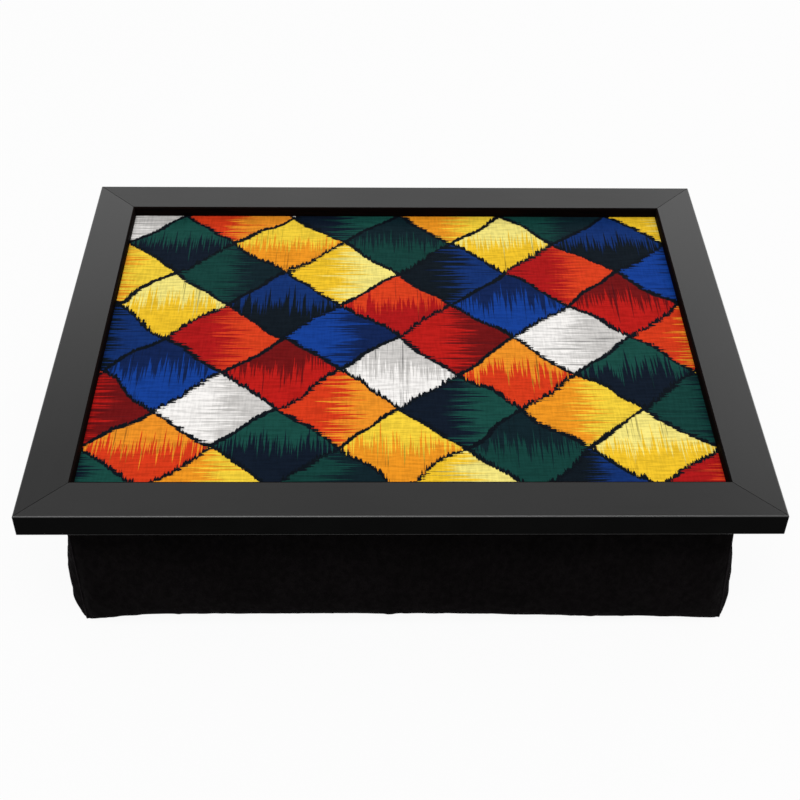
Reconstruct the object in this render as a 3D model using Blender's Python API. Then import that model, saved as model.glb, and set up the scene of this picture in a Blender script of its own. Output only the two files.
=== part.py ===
"""A breakfast tray for the lap: a mitred frame round a printed panel, on a removable bean bag cushion.

Metres, +Z up. The origin is on the surface that the cushion stands on, under the middle of the tray.
The front of the tray faces -Y.
"""

import math

import bmesh
import bpy
from mathutils import Matrix, Vector

# Driving dimensions of the tray, outside to outside
FRAME_WIDTH = 0.440
FRAME_DEPTH = 0.340
FACE_WIDTH = 0.0285
LIP_THICKNESS = 0.007
REBATE_WIDTH = 0.008
ARRIS = 0.0007

# Clearances
FIT = 0.0003
BOARD_CLEARANCE = 0.0005
OVERRUN = 0.002

# Sheets in the rebate, from the top down
LAMINATE_THICKNESS = 0.0006
EMBOSS_HEIGHT = 0.00005
EMBOSS_MARGIN = 0.0005
PANEL_BOARD_THICKNESS = 0.003
BASE_BOARD_THICKNESS = 0.0025

# Framer's points that hold the sheets in the rebate
POINT_THICKNESS = 0.0006
POINT_WIDTH = 0.006
POINT_OVER_BOARD = 0.008
POINT_IN_WOOD = 0.006
POINT_TIP = 0.002
POINT_RECESS = 0.0002
LONG_RAIL_POINT_COUNT = 3
SHORT_RAIL_POINT_COUNT = 2

# V-nails that pin the mitres from below
V_NAIL_WING = 0.0042
V_NAIL_THICKNESS = 0.0006
V_NAIL_HEIGHT = 0.0075
V_NAIL_HALF_ANGLE = math.radians(58)
V_NAIL_FIRST_INSET = 0.0060
V_NAIL_SPACING = 0.0075
V_NAIL_COUNT = 2

# Hook tape under the base board, loop tape on the cushion
HOOK_THICKNESS = 0.0012
LOOP_THICKNESS = 0.0012
TAPE_WIDTH = 0.020
TAPE_EDGE_INSET = 0.022
LONG_TAPE_END_INSET = 0.0475
SHORT_TAPE_END_INSET = 0.0675

# Cushion: a box of cloth whose sides swell between drawn-in corner seams
CUSHION_HEIGHT = 0.0995
CUSHION_INSET = 0.0225
CLOTH_THICKNESS = 0.0012
SEAM_GAP = 0.0003
SIDE_BULGE = 0.010
BACK_BULGE = 0.007
CORNER_REACH = 0.020
SEAM_REACH = 0.045
SEAM_LIFT = 0.0085
LIFT_REACH = 0.040
FLAT_CUT = 0.0005
BELLY_SHARE = 0.26
UPPER_SWELL_POWER = 2
BACK_SWELL_POWER = 4
SEAM_LIFT_POWER = 1.5
STATION_POWER = 2
HALF_CELL_COUNT = 6
HEIGHT_CELL_COUNT = 10

# Liner that holds the beads
LINER_SIDE_INSET = 0.005
LINER_WALL = 0.0024
LINER_HALF_CELL_COUNT = 4
LINER_HEIGHT_CELL_COUNT = 6
LINER_LIFT_SHARE = 1.6
LINER_MOUTH_WIDTH = 0.060
LINER_MOUTH_HEIGHT = 0.008
LINER_MOUTH_DROP = 0.020

# Zip across the back of the cushion
ZIP_END_INSET = 0.0525
ZIP_SLOT_HALF_HEIGHT = 0.0045
ZIP_TAPE_HEIGHT = 0.013
ZIP_TAPE_THICKNESS = 0.0008
ZIP_TAPE_END = 0.006
ZIP_PARTING = 0.0009
COIL_HEIGHT = 0.0022
COIL_THICKNESS = 0.0014
STOP_LENGTH = 0.0025
SLIDER_LENGTH = 0.009
SLIDER_WING = 0.0009
SLIDER_WEB = 0.0003
SLIDER_FLANGE = 0.0012
SLIDER_LUG_LENGTH = 0.005
SLIDER_LUG_WIDTH = 0.0016
SLIDER_LUG_HEIGHT = 0.0012

# Heights worked out from the stack above the cushion
LOOP_LOW = CUSHION_HEIGHT + FIT
HOOK_LOW = LOOP_LOW + LOOP_THICKNESS + FIT
BASE_BOARD_LOW = HOOK_LOW + HOOK_THICKNESS + FIT
FRAME_LOW = BASE_BOARD_LOW - FIT - POINT_THICKNESS - POINT_RECESS
PANEL_BOARD_LOW = BASE_BOARD_LOW + BASE_BOARD_THICKNESS + FIT
LAMINATE_LOW = PANEL_BOARD_LOW + PANEL_BOARD_THICKNESS + FIT
LIP_LOW = LAMINATE_LOW + LAMINATE_THICKNESS + FIT
FRAME_HIGH = LIP_LOW + LIP_THICKNESS
POINT_LOW = FRAME_LOW + POINT_RECESS

# Places worked out from the frame
REBATE_INSET = FACE_WIDTH - REBATE_WIDTH
BOARD_WIDTH = FRAME_WIDTH - 2 * (REBATE_INSET + BOARD_CLEARANCE)
BOARD_DEPTH = FRAME_DEPTH - 2 * (REBATE_INSET + BOARD_CLEARANCE)
WELL_WIDTH = FRAME_WIDTH - 2 * FACE_WIDTH
WELL_DEPTH = FRAME_DEPTH - 2 * FACE_WIDTH
HALF_WIDTH = FRAME_WIDTH / 2 - CUSHION_INSET
HALF_DEPTH = FRAME_DEPTH / 2 - CUSHION_INSET
HALF_ZIP = HALF_WIDTH - ZIP_END_INSET

QUARTER_TURN = math.pi / 2
SIDES = ("front", "right", "back", "left")
CORNER_WAYS = {"front_left": (-1, -1), "front_right": (1, -1), "back_right": (1, 1), "back_left": (-1, 1)}


def clear_scene():
    """Removes what the startup file holds."""
    for old in list(bpy.data.objects):
        bpy.data.objects.remove(old, do_unlink=True)


def new_collection(name):
    """A collection linked to the scene."""
    made = bpy.data.collections.new(name)
    bpy.context.scene.collection.children.link(made)
    return made


def new_material(name, colour, roughness, metallic=0.0):
    """A Principled material of one plain colour."""
    made = bpy.data.materials.new(name)
    made.use_nodes = True
    shader = made.node_tree.nodes["Principled BSDF"]
    shader.inputs["Base Color"].default_value = (*colour, 1.0)
    shader.inputs["Roughness"].default_value = roughness
    shader.inputs["Metallic"].default_value = metallic
    return made


def body_empty(name, place, parts):
    """The empty that the pieces of one moving body hang from."""
    empty = bpy.data.objects.new(name, None)
    empty.location = place
    parts.objects.link(empty)
    return empty


def face_outwards(bm):
    """Turns the faces of a closed shape to point out, however thin it is."""
    bmesh.ops.recalc_face_normals(bm, faces=bm.faces)
    if bm.calc_volume(signed=True) < 0:
        bmesh.ops.reverse_faces(bm, faces=bm.faces)


def mesh_object(name, bm, collection):
    """An object from a bmesh, which it frees."""
    face_outwards(bm)
    mesh = bpy.data.meshes.new(name)
    bm.to_mesh(mesh)
    bm.free()
    made = bpy.data.objects.new(name, mesh)
    collection.objects.link(made)
    return made


def dress(piece, material, parent):
    """Gives a piece its material and hangs it from its body, where it stands."""
    piece.data.materials.clear()
    piece.data.materials.append(material)
    piece.parent = parent
    piece.matrix_parent_inverse = Matrix.Translation(parent.location).inverted()
    return piece


def box(name, low, high, collection):
    """A block between two corners, with its origin at its middle."""
    low, high = Vector(low), Vector(high)
    bm = bmesh.new()
    bmesh.ops.create_cube(bm, size=1)
    bmesh.ops.scale(bm, vec=high - low, verts=bm.verts)
    made = mesh_object(name, bm, collection)
    made.location = (low + high) / 2
    return made


def outline_solid(name, points, thickness, turned, collection):
    """A flat outline given a thickness, centred on its own plane, and turned into place as a mesh."""
    curve = bpy.data.curves.new(name, "CURVE")
    curve.dimensions = "2D"
    curve.fill_mode = "BOTH"
    curve.extrude = thickness / 2
    spline = curve.splines.new("POLY")
    spline.points.add(len(points) - 1)
    for knot, (x, y) in zip(spline.points, points):
        knot.co = (x, y, 0, 1)
    spline.use_cyclic_u = True
    drawn = bpy.data.objects.new(name + "_outline", curve)
    bpy.context.scene.collection.objects.link(drawn)
    drawn.matrix_world = turned
    bpy.context.view_layer.update()
    graph = bpy.context.evaluated_depsgraph_get()
    mesh = bpy.data.meshes.new_from_object(drawn.evaluated_get(graph))
    bpy.data.objects.remove(drawn, do_unlink=True)
    bm = bmesh.new()
    bm.from_mesh(mesh)
    bpy.data.meshes.remove(mesh)
    bmesh.ops.remove_doubles(bm, verts=bm.verts, dist=FIT / 100)
    made = mesh_object(name, bm, collection)
    made.data.shade_flat()
    made.matrix_world = turned
    return made


def is_long(side):
    """Whether a side is one of the two long ones."""
    return side in ("front", "back")


def turned_to(side, size=4):
    """The turn that takes what is drawn at the front round to a side."""
    return Matrix.Rotation(SIDES.index(side) * QUARTER_TURN, size, "Z")


def helper(piece):
    """Keeps a cutter out of the model."""
    piece.hide_render = True
    piece.display_type = "WIRE"
    return piece


def cut(piece, cutter):
    """Cuts a helper out of a piece."""
    modifier = piece.modifiers.new("cut_" + cutter.name, "BOOLEAN")
    modifier.operation = "DIFFERENCE"
    modifier.solver = "EXACT"
    modifier.object = cutter


# Frame


def rail_profile():
    """Section of the moulding: distance in from the outer face, and height."""
    return [
        (ARRIS, FRAME_LOW),
        (REBATE_INSET, FRAME_LOW),
        (REBATE_INSET, LIP_LOW),
        (FACE_WIDTH, LIP_LOW),
        (FACE_WIDTH, FRAME_HIGH - ARRIS),
        (FACE_WIDTH - ARRIS, FRAME_HIGH),
        (ARRIS, FRAME_HIGH),
        (0, FRAME_HIGH - ARRIS),
        (0, FRAME_LOW + ARRIS),
    ]


def slice_end(bm, corner, outward):
    """Cuts a bar off square to a direction through a point and closes the end."""
    whole = bm.verts[:] + bm.edges[:] + bm.faces[:]
    found = bmesh.ops.bisect_plane(bm, geom=whole, plane_co=corner, plane_no=outward, clear_outer=True)
    rim = [item for item in found["geom_cut"] if isinstance(item, bmesh.types.BMEdge)]
    bmesh.ops.holes_fill(bm, edges=rim)


def frame_rail(side, parts):
    """One moulding of the frame, drawn at the front and turned to its side."""
    length, across = (FRAME_WIDTH, FRAME_DEPTH) if is_long(side) else (FRAME_DEPTH, FRAME_WIDTH)
    reach = across / 2
    lie_along_x = Matrix(((0, 0, 1, 0), (1, 0, 0, -reach), (0, 1, 0, 0), (0, 0, 0, 1)))
    rail = outline_solid(side + "_rail", rail_profile(), length, Matrix.Identity(4), parts)
    bm = bmesh.new()
    bm.from_mesh(rail.data)
    bm.transform(lie_along_x)
    for end in (-1, 1):
        corner = Vector((end * (length / 2 - FIT / 2 * math.sqrt(2)), -reach, 0))
        slice_end(bm, corner, Vector((end, 1, 0)).normalized())
    face_outwards(bm)
    bm.to_mesh(rail.data)
    bm.free()
    rail.matrix_world = turned_to(side)
    return rail


def v_outline(grow):
    """A V with its point at the origin, opening along +X, thickened by grow on every side."""
    half = V_NAIL_THICKNESS / 2 + grow
    reach = V_NAIL_WING + grow
    across, along = math.sin(V_NAIL_HALF_ANGLE), math.cos(V_NAIL_HALF_ANGLE)
    tips = []
    for side in (-1, 1):
        tip = Vector((reach * along, side * reach * across))
        edge = Vector((half * across, -side * half * along))
        tips.append((tip - edge, tip + edge))
    (low_out, low_in), (high_out, high_in) = tips
    point = half / across
    return [(-point, 0), tuple(low_out), tuple(low_in), (point, 0), tuple(high_in), tuple(high_out)]


def v_nails(parts, cutters):
    """The nails of the four mitres, and the slots that they stand in."""
    nails, slots = [], []
    low = FRAME_LOW + FIT
    high = low + V_NAIL_HEIGHT
    slot_low, slot_high = FRAME_LOW - OVERRUN, high + FIT
    for corner, (x_way, y_way) in CORNER_WAYS.items():
        spin = Matrix.Rotation(math.atan2(y_way, x_way), 4, "Z")
        for number in range(V_NAIL_COUNT):
            inset = V_NAIL_FIRST_INSET + number * V_NAIL_SPACING
            x, y = x_way * (FRAME_WIDTH / 2 - inset), y_way * (FRAME_DEPTH / 2 - inset)
            name = f"v_nail_{corner}_{number + 1}"
            place = Matrix.Translation((x, y, (low + high) / 2)) @ spin
            nails.append(outline_solid(name, v_outline(0), high - low, place, parts))
            place = Matrix.Translation((x, y, (slot_low + slot_high) / 2)) @ spin
            slot = outline_solid(name + "_slot", v_outline(FIT), slot_high - slot_low, place, cutters)
            slots.append(helper(slot))
    return nails, slots


def point_outline(grow):
    """A flat tab that crosses the rebate's wall at the origin, blunt over the board and pointed at +X."""
    half = POINT_WIDTH / 2 + grow
    blunt, sharp = -POINT_OVER_BOARD - grow, POINT_IN_WOOD + grow
    shoulder = sharp - POINT_TIP
    return [(blunt, -half), (shoulder, -half), (sharp, 0), (shoulder, half), (blunt, half)]


def framers_points(parts, cutters):
    """The steel tabs under the base board, each with its slot in the rebate's wall."""
    tabs, slots = [], []
    face_outwards = Matrix.Rotation(-QUARTER_TURN, 4, "Z")
    slot_thickness = POINT_THICKNESS + 2 * FIT
    for side in SIDES:
        count = LONG_RAIL_POINT_COUNT if is_long(side) else SHORT_RAIL_POINT_COUNT
        length, across = (BOARD_WIDTH, FRAME_DEPTH) if is_long(side) else (BOARD_DEPTH, FRAME_WIDTH)
        for number in range(count):
            along = length * ((number + 1) / (count + 1) - 1 / 2)
            wall = Vector((along, REBATE_INSET - across / 2, POINT_LOW + POINT_THICKNESS / 2))
            place = turned_to(side) @ Matrix.Translation(wall) @ face_outwards
            name = f"framers_point_{side}_{number + 1}"
            tabs.append(outline_solid(name, point_outline(0), POINT_THICKNESS, place, parts))
            slot = outline_solid(name + "_slot", point_outline(FIT), slot_thickness, place, cutters)
            slots.append(helper(slot))
    return tabs, slots


def boards(parts):
    """The printed laminate, the board under it and the base board."""
    x, y = BOARD_WIDTH / 2, BOARD_DEPTH / 2

    def board(name, low, thickness):
        return box(name, (-x, -y, low), (x, y, low + thickness), parts)

    panel = board("panel_board", PANEL_BOARD_LOW, PANEL_BOARD_THICKNESS)
    base = board("base_board", BASE_BOARD_LOW, BASE_BOARD_THICKNESS)
    laminate = board("print_laminate", LAMINATE_LOW, LAMINATE_THICKNESS)
    bm = bmesh.new()
    bm.from_mesh(laminate.data)
    top = [face for face in bm.faces if face.normal.z > math.cos(QUARTER_TURN / 2)]
    margin = (BOARD_WIDTH - WELL_WIDTH) / 2 + EMBOSS_MARGIN
    bmesh.ops.inset_region(bm, faces=top, thickness=margin, depth=0, use_even_offset=True)
    bmesh.ops.translate(bm, vec=(0, 0, EMBOSS_HEIGHT), verts=top[0].verts[:])
    bm.to_mesh(laminate.data)
    bm.free()
    return laminate, panel, base


def tapes(kind, low, thickness, parts):
    """Four strips of hook or loop tape round the edge of the cushion's top."""
    made = []
    for side in SIDES:
        along, across = (HALF_WIDTH, HALF_DEPTH) if is_long(side) else (HALF_DEPTH, HALF_WIDTH)
        along -= LONG_TAPE_END_INSET if is_long(side) else SHORT_TAPE_END_INSET
        across -= TAPE_EDGE_INSET
        strip = box(
            f"{kind}_tape_{side}",
            (-along, -across - TAPE_WIDTH / 2, low),
            (along, -across + TAPE_WIDTH / 2, low + thickness),
            parts,
        )
        strip.matrix_world = turned_to(side) @ Matrix.Translation(strip.location)
        made.append(strip)
    return made


# Cushion


def share_left(distance, reach):
    """1 at no distance, falling evenly to 0 at reach and staying there."""
    return 1 - min(max(distance / reach, 0), 1)


def quarter_round(distance, reach):
    """Climbs from 0 to 1 over reach, as a quarter of a circle does, steepest at the start."""
    return math.sqrt(1 - share_left(distance, reach) ** 2)


def side_swell(up):
    """Share of a side's bulge at a height between the bottom seam, 0, and the top seam, 1."""
    if up < BELLY_SHARE:
        return quarter_round(up, BELLY_SHARE)
    above_belly = (up - BELLY_SHARE) / (1 - BELLY_SHARE)
    return (1 - above_belly**2) ** UPPER_SWELL_POWER


def back_swell(up):
    """The same for the back, which its zip keeps flatter."""
    return 1 - abs(2 * up - 1) ** BACK_SWELL_POWER


def station(share, half, cells):
    """Place of a grid line, given as -1 to 1: one cell spans the flat middle, more crowd to the seam."""
    step = abs(share) * cells
    flat = half - SEAM_REACH
    if step <= 1:
        place = step * flat
    else:
        place = half - SEAM_REACH * ((cells - step) / (cells - 1)) ** STATION_POWER
    return math.copysign(place, share)


def row_height(share):
    """Height of a row of the grid, given as -1 to 1: from 0 to 1, crowded to both seams."""
    return (1 - math.cos(math.pi * (share + 1) / 2)) / 2


def seam_height(distance):
    """How high the bottom seam is drawn up, at a distance along it from a corner."""
    return SEAM_LIFT * (1 - share_left(distance, SEAM_REACH) ** SEAM_LIFT_POWER)


def floor_height(to_x_seam, to_y_seam):
    """Height of the bottom panel, from its distances to the two seams, cut flat where it rests."""
    from_x_seam = seam_height(to_y_seam) * share_left(to_x_seam, LIFT_REACH) ** 2
    from_y_seam = seam_height(to_x_seam) * share_left(to_y_seam, LIFT_REACH) ** 2
    return max(from_x_seam + from_y_seam - FLAT_CUT, 0)


def side_point(side, along_share, up_share, side_inset, end_inset, cells, gap):
    """A point of a side panel: shares run from -1 to 1, and insets go in from the cloth's outer surface."""
    half, reach = (HALF_WIDTH, HALF_DEPTH) if is_long(side) else (HALF_DEPTH, HALF_WIDTH)
    half, reach = half - side_inset, reach - side_inset
    along = station(along_share, half, cells) * (half - gap) / half
    up = row_height(up_share)
    to_corner = half - abs(along)
    low = max(seam_height(to_corner) - FLAT_CUT, 0) + end_inset + gap
    high = CUSHION_HEIGHT - end_inset - gap
    bulge = BACK_BULGE * back_swell(up) if side == "back" else SIDE_BULGE * side_swell(up)
    out = reach + bulge * quarter_round(to_corner - gap, CORNER_REACH)
    return turned_to(side, 3) @ Vector((along, -out, low + up * (high - low)))


def bottom_point(x_share, y_share, side_inset, end_inset, cells, gap):
    """A point of the bottom panel."""
    half_x, half_y = HALF_WIDTH - side_inset, HALF_DEPTH - side_inset
    x = station(x_share, half_x, cells) * (half_x - gap) / half_x
    y = station(y_share, half_y, cells) * (half_y - gap) / half_y
    return Vector((x, y, floor_height(half_x - abs(x), half_y - abs(y)) + end_inset))


def gridded_cube(cells_by_axis):
    """A cube from -1 to 1, cut into even cells along each axis."""
    bm = bmesh.new()
    bmesh.ops.create_cube(bm, size=2)
    for axis, cells in enumerate(cells_by_axis):
        along = [edge for edge in bm.edges if edge.verts[0].co[axis] != edge.verts[1].co[axis]]
        if cells > 1:
            bmesh.ops.subdivide_edges(bm, edges=along, cuts=cells - 1, use_grid_fill=True)
    return bm


def cloth_panel(name, place, cells_u, cells_v, parts):
    """A panel of cloth: a gridded slab, its faces laid on the surfaces that place gives for each inset."""
    bm = gridded_cube((cells_u, cells_v, 1))
    for vert in bm.verts:
        u, v, w = vert.co
        inset = CLOTH_THICKNESS if w > 0 else 0
        vert.co = place(u, v, inset)
    panel = mesh_object(name, bm, parts)
    for face in panel.data.polygons:
        face.use_smooth = True
    panel.data.set_sharp_from_angle(angle=QUARTER_TURN / 2)
    return panel


def cover_panels(parts):
    """The six panels of the cushion cover, with a hair's gap at each seam."""
    gap = SEAM_GAP / math.sqrt(2)
    made = {}
    for side in SIDES:

        def on_side(u, v, inset, side=side):
            return side_point(side, u, v, inset, inset, HALF_CELL_COUNT, gap)

        made[side] = cloth_panel("cover_" + side, on_side, 2 * HALF_CELL_COUNT, HEIGHT_CELL_COUNT, parts)

    def on_bottom(u, v, inset):
        return bottom_point(u, v, inset, inset, HALF_CELL_COUNT, gap)

    made["bottom"] = cloth_panel("cover_bottom", on_bottom, 2 * HALF_CELL_COUNT, 2 * HALF_CELL_COUNT, parts)

    def on_top(u, v, inset):
        x, y = u * (HALF_WIDTH - inset - gap), v * (HALF_DEPTH - inset - gap)
        return Vector((x, y, CUSHION_HEIGHT - inset))

    made["top"] = cloth_panel("cover_top", on_top, 1, 1, parts)
    return made


def liner_surface(name, side_inset, end_inset, collection):
    """A closed surface inside the cover, the same shape as it and smaller."""
    bm = gridded_cube((2 * LINER_HALF_CELL_COUNT, 2 * LINER_HALF_CELL_COUNT, LINER_HEIGHT_CELL_COUNT))
    nearly_one = 1 - 1 / (4 * LINER_HALF_CELL_COUNT * LINER_HEIGHT_CELL_COUNT)
    for vert in bm.verts:
        x, y, z = vert.co
        if z < -nearly_one:
            vert.co = bottom_point(x, y, side_inset, end_inset, LINER_HALF_CELL_COUNT, 0)
            cover_floor = floor_height(HALF_WIDTH - abs(vert.co.x), HALF_DEPTH - abs(vert.co.y))
            vert.co.z = end_inset + LINER_LIFT_SHARE * cover_floor
        elif z > nearly_one:
            half_x, half_y = HALF_WIDTH - side_inset, HALF_DEPTH - side_inset
            x, y = station(x, half_x, LINER_HALF_CELL_COUNT), station(y, half_y, LINER_HALF_CELL_COUNT)
            vert.co = Vector((x, y, CUSHION_HEIGHT - end_inset))
        elif abs(y) > nearly_one:
            side, along = ("front", x) if y < 0 else ("back", -x)
            vert.co = side_point(side, along, z, side_inset, end_inset, LINER_HALF_CELL_COUNT, 0)
        else:
            side, along = ("right", y) if x > 0 else ("left", -y)
            vert.co = side_point(side, along, z, side_inset, end_inset, LINER_HALF_CELL_COUNT, 0)
    return mesh_object(name, bm, collection)


def bead_liner(parts, cutters):
    """The filled inner bag: its wall stands for liner and beads, and its filling mouth is at the back."""
    end_inset = CLOTH_THICKNESS + FIT
    liner = liner_surface("bead_liner", LINER_SIDE_INSET, end_inset, parts)
    side_inset = LINER_SIDE_INSET + LINER_WALL
    cut(liner, helper(liner_surface("liner_hollow", side_inset, end_inset + LINER_WALL, cutters)))
    high = CUSHION_HEIGHT - end_inset - LINER_MOUTH_DROP
    back = HALF_DEPTH + BACK_BULGE - LINER_SIDE_INSET
    mouth = box(
        "liner_mouth",
        (-LINER_MOUTH_WIDTH / 2, back - LINER_WALL - BACK_BULGE, high - LINER_MOUTH_HEIGHT),
        (LINER_MOUTH_WIDTH / 2, back + OVERRUN, high),
        cutters,
    )
    cut(liner, helper(mouth))
    return liner


def zip_levels():
    """Height of the zip's middle, and the place of the tape's outer face, clear of the curved panel."""
    low = max(seam_height(SEAM_REACH) - FLAT_CUT, 0)
    middle = (low + CUSHION_HEIGHT) / 2
    edge_share = (middle + ZIP_TAPE_HEIGHT - low) / (CUSHION_HEIGHT - low)
    lean = BACK_BULGE * (1 - back_swell(edge_share))
    tape_face = HALF_DEPTH + BACK_BULGE - CLOTH_THICKNESS - lean - FIT
    return middle, tape_face


def zip_fastener(back_panel, parts, cutters):
    """Tapes, coils, end stops and slider of the zip, and the slot for them in the back panel."""
    middle, tape_face = zip_levels()
    half = HALF_ZIP
    slot = box(
        "zip_slot",
        (-half, HALF_DEPTH - CLOTH_THICKNESS - OVERRUN, middle - ZIP_SLOT_HALF_HEIGHT),
        (half, HALF_DEPTH + BACK_BULGE + OVERRUN, middle + ZIP_SLOT_HALF_HEIGHT),
        cutters,
    )
    cut(back_panel, helper(slot))
    tape_half = half + ZIP_TAPE_END
    coil_low, coil_high = tape_face + FIT, tape_face + FIT + COIL_THICKNESS
    coil_half = half - FIT - STOP_LENGTH - FIT
    made = []
    for way, name in ((1, "upper"), (-1, "lower")):
        near, far = middle + way * ZIP_PARTING / 2, middle + way * ZIP_TAPE_HEIGHT
        coil_far = middle + way * (ZIP_PARTING / 2 + COIL_HEIGHT)
        made.append(
            box(
                f"zip_tape_{name}",
                (-tape_half, tape_face - ZIP_TAPE_THICKNESS, min(near, far)),
                (tape_half, tape_face, max(near, far)),
                parts,
            )
        )
        made.append(
            box(
                f"zip_coil_{name}",
                (-coil_half, coil_low, min(near, coil_far)),
                (coil_half, coil_high, max(near, coil_far)),
                parts,
            )
        )
    stop_half = ZIP_PARTING / 2 + COIL_HEIGHT
    for way, name in ((-1, "left"), (1, "right")):
        near, far = way * (coil_half + FIT), way * (coil_half + FIT + STOP_LENGTH)
        made.append(
            box(
                f"zip_stop_{name}",
                (min(near, far), coil_low, middle - stop_half),
                (max(near, far), coil_high, middle + stop_half),
                parts,
            )
        )
    return made


def slider_section():
    """Section of the slider: distance out from the tape's face, and height from the zip's middle."""
    wing_low = FIT + COIL_THICKNESS + FIT
    wing_high = wing_low + SLIDER_WING
    inner = ZIP_PARTING / 2 + COIL_HEIGHT + FIT
    outer = inner + SLIDER_FLANGE
    web = SLIDER_WEB / 2
    back_high = -ZIP_TAPE_THICKNESS - FIT
    back_low = back_high - SLIDER_WING
    upper = [
        (back_low, outer),
        (back_high, outer),
        (back_high, web),
        (wing_low, web),
        (wing_low, inner),
        (2 * FIT, inner),
        (2 * FIT, outer),
        (wing_high, outer),
    ]
    return upper + [(out, -up) for out, up in reversed(upper)]


def zip_slider(parts, cutters):
    """The slider, parked at the closed end of the zip, with the lug of a pull that it doesn't carry."""
    middle, tape_face = zip_levels()
    start = HALF_ZIP - FIT - STOP_LENGTH - FIT - SLIDER_LENGTH / 2
    along_x = Matrix(((0, 0, 1, start), (1, 0, 0, tape_face), (0, 1, 0, middle), (0, 0, 0, 1)))
    slider = outline_solid("zip_slider", slider_section(), SLIDER_LENGTH, along_x, parts)
    wing_high = tape_face + FIT + COIL_THICKNESS + FIT + SLIDER_WING
    lug = box(
        "slider_lug",
        (start - SLIDER_LUG_LENGTH / 2, wing_high - SLIDER_WING / 2, middle - SLIDER_LUG_WIDTH / 2),
        (start + SLIDER_LUG_LENGTH / 2, wing_high + SLIDER_LUG_HEIGHT, middle + SLIDER_LUG_WIDTH / 2),
        cutters,
    )
    joined = slider.modifiers.new("lug", "BOOLEAN")
    joined.operation = "UNION"
    joined.solver = "EXACT"
    joined.object = helper(lug)
    return slider


def build():
    """Models the whole tray."""
    clear_scene()
    parts, cutters = new_collection("lap_tray"), new_collection("cutters")
    black_foil = new_material("black_foil", (0.035, 0.035, 0.035), 0.42)
    print_finish = new_material("printed_melamine", (0.62, 0.16, 0.05), 0.38)
    fibreboard = new_material("fibreboard", (0.30, 0.20, 0.12), 0.75)
    hardboard = new_material("black_hardboard", (0.03, 0.028, 0.026), 0.7)
    steel = new_material("zinc_steel", (0.62, 0.62, 0.60), 0.35, 1.0)
    cloth = new_material("black_velour", (0.012, 0.011, 0.012), 0.95)
    webbing = new_material("black_tape", (0.015, 0.015, 0.016), 0.9)
    calico = new_material("white_calico", (0.72, 0.70, 0.66), 0.9)
    nylon = new_material("black_nylon", (0.02, 0.02, 0.02), 0.5)

    tray = body_empty("tray_body", (0, 0, FRAME_LOW), parts)
    cushion = body_empty("cushion_body", (0, 0, CUSHION_HEIGHT), parts)
    zip_middle, tape_face = zip_levels()
    slider_body = body_empty("zip_slider_body", (0, tape_face, zip_middle), parts)

    rails = [frame_rail(side, parts) for side in SIDES]
    nails, nail_slots = v_nails(parts, cutters)
    tabs, tab_slots = framers_points(parts, cutters)
    for rail in rails:
        side = rail.name.split("_")[0]
        for slot in nail_slots:
            if side in slot.name:
                cut(rail, slot)
        for slot in tab_slots:
            if f"_{side}_" in slot.name:
                cut(rail, slot)
        dress(rail, black_foil, tray)
    for piece in nails + tabs:
        dress(piece, steel, tray)
    laminate, panel, base = boards(parts)
    dress(laminate, print_finish, tray)
    dress(panel, fibreboard, tray)
    dress(base, hardboard, tray)
    for strip in tapes("hook", HOOK_LOW, HOOK_THICKNESS, parts):
        dress(strip, webbing, tray)

    covers = cover_panels(parts)
    for strip in tapes("loop", LOOP_LOW, LOOP_THICKNESS, parts):
        dress(strip, webbing, cushion)
    for piece in zip_fastener(covers["back"], parts, cutters):
        dress(piece, nylon, cushion)
    for panel in covers.values():
        dress(panel, cloth, cushion)
    dress(bead_liner(parts, cutters), calico, cushion)
    dress(zip_slider(parts, cutters), steel, slider_body)


build()
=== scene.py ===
"""The looks of a breakfast tray for the lap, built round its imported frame.

Metres, +Z up, in the frame's own coordinates: the tray's front faces -Y and its cushion stands on z = 0.
"""

import logging
import math
from collections.abc import Callable, Iterator, Sequence
from contextlib import contextmanager
from dataclasses import dataclass, field
from enum import Enum
from typing import ClassVar

import bmesh
import bpy
import numpy as np
from mathutils import Matrix, Vector, noise
from mathutils.bvhtree import BVHTree


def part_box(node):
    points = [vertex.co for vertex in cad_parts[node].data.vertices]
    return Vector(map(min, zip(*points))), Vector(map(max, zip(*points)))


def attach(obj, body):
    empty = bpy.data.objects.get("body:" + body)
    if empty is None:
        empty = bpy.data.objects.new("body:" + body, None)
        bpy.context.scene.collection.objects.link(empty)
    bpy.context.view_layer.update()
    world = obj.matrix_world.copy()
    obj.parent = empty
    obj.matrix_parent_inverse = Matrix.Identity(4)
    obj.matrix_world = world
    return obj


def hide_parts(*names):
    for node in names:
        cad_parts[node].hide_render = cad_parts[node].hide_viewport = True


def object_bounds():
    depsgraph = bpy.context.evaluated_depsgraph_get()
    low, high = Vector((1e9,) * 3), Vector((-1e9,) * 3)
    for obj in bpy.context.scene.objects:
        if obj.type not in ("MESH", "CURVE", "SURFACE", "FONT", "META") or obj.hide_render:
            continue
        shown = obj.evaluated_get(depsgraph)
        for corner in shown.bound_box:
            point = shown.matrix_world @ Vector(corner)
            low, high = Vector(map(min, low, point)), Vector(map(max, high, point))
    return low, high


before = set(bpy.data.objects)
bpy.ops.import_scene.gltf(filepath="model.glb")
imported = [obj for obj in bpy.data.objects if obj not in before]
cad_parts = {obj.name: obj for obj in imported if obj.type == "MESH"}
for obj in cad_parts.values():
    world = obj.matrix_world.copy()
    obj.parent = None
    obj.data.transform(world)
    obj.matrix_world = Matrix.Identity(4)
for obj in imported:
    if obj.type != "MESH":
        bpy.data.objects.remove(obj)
CAD_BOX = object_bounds()

LOG = logging.getLogger("lap_tray")

TRAY = "tray"
CUSHION = "cushion"
SLIDER = "zip_slider"

MM = 0.001
QUARTER_TURN = math.pi / 2
# Points nearer to each other than this are one point.
WELD = MM / 1000
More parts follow.
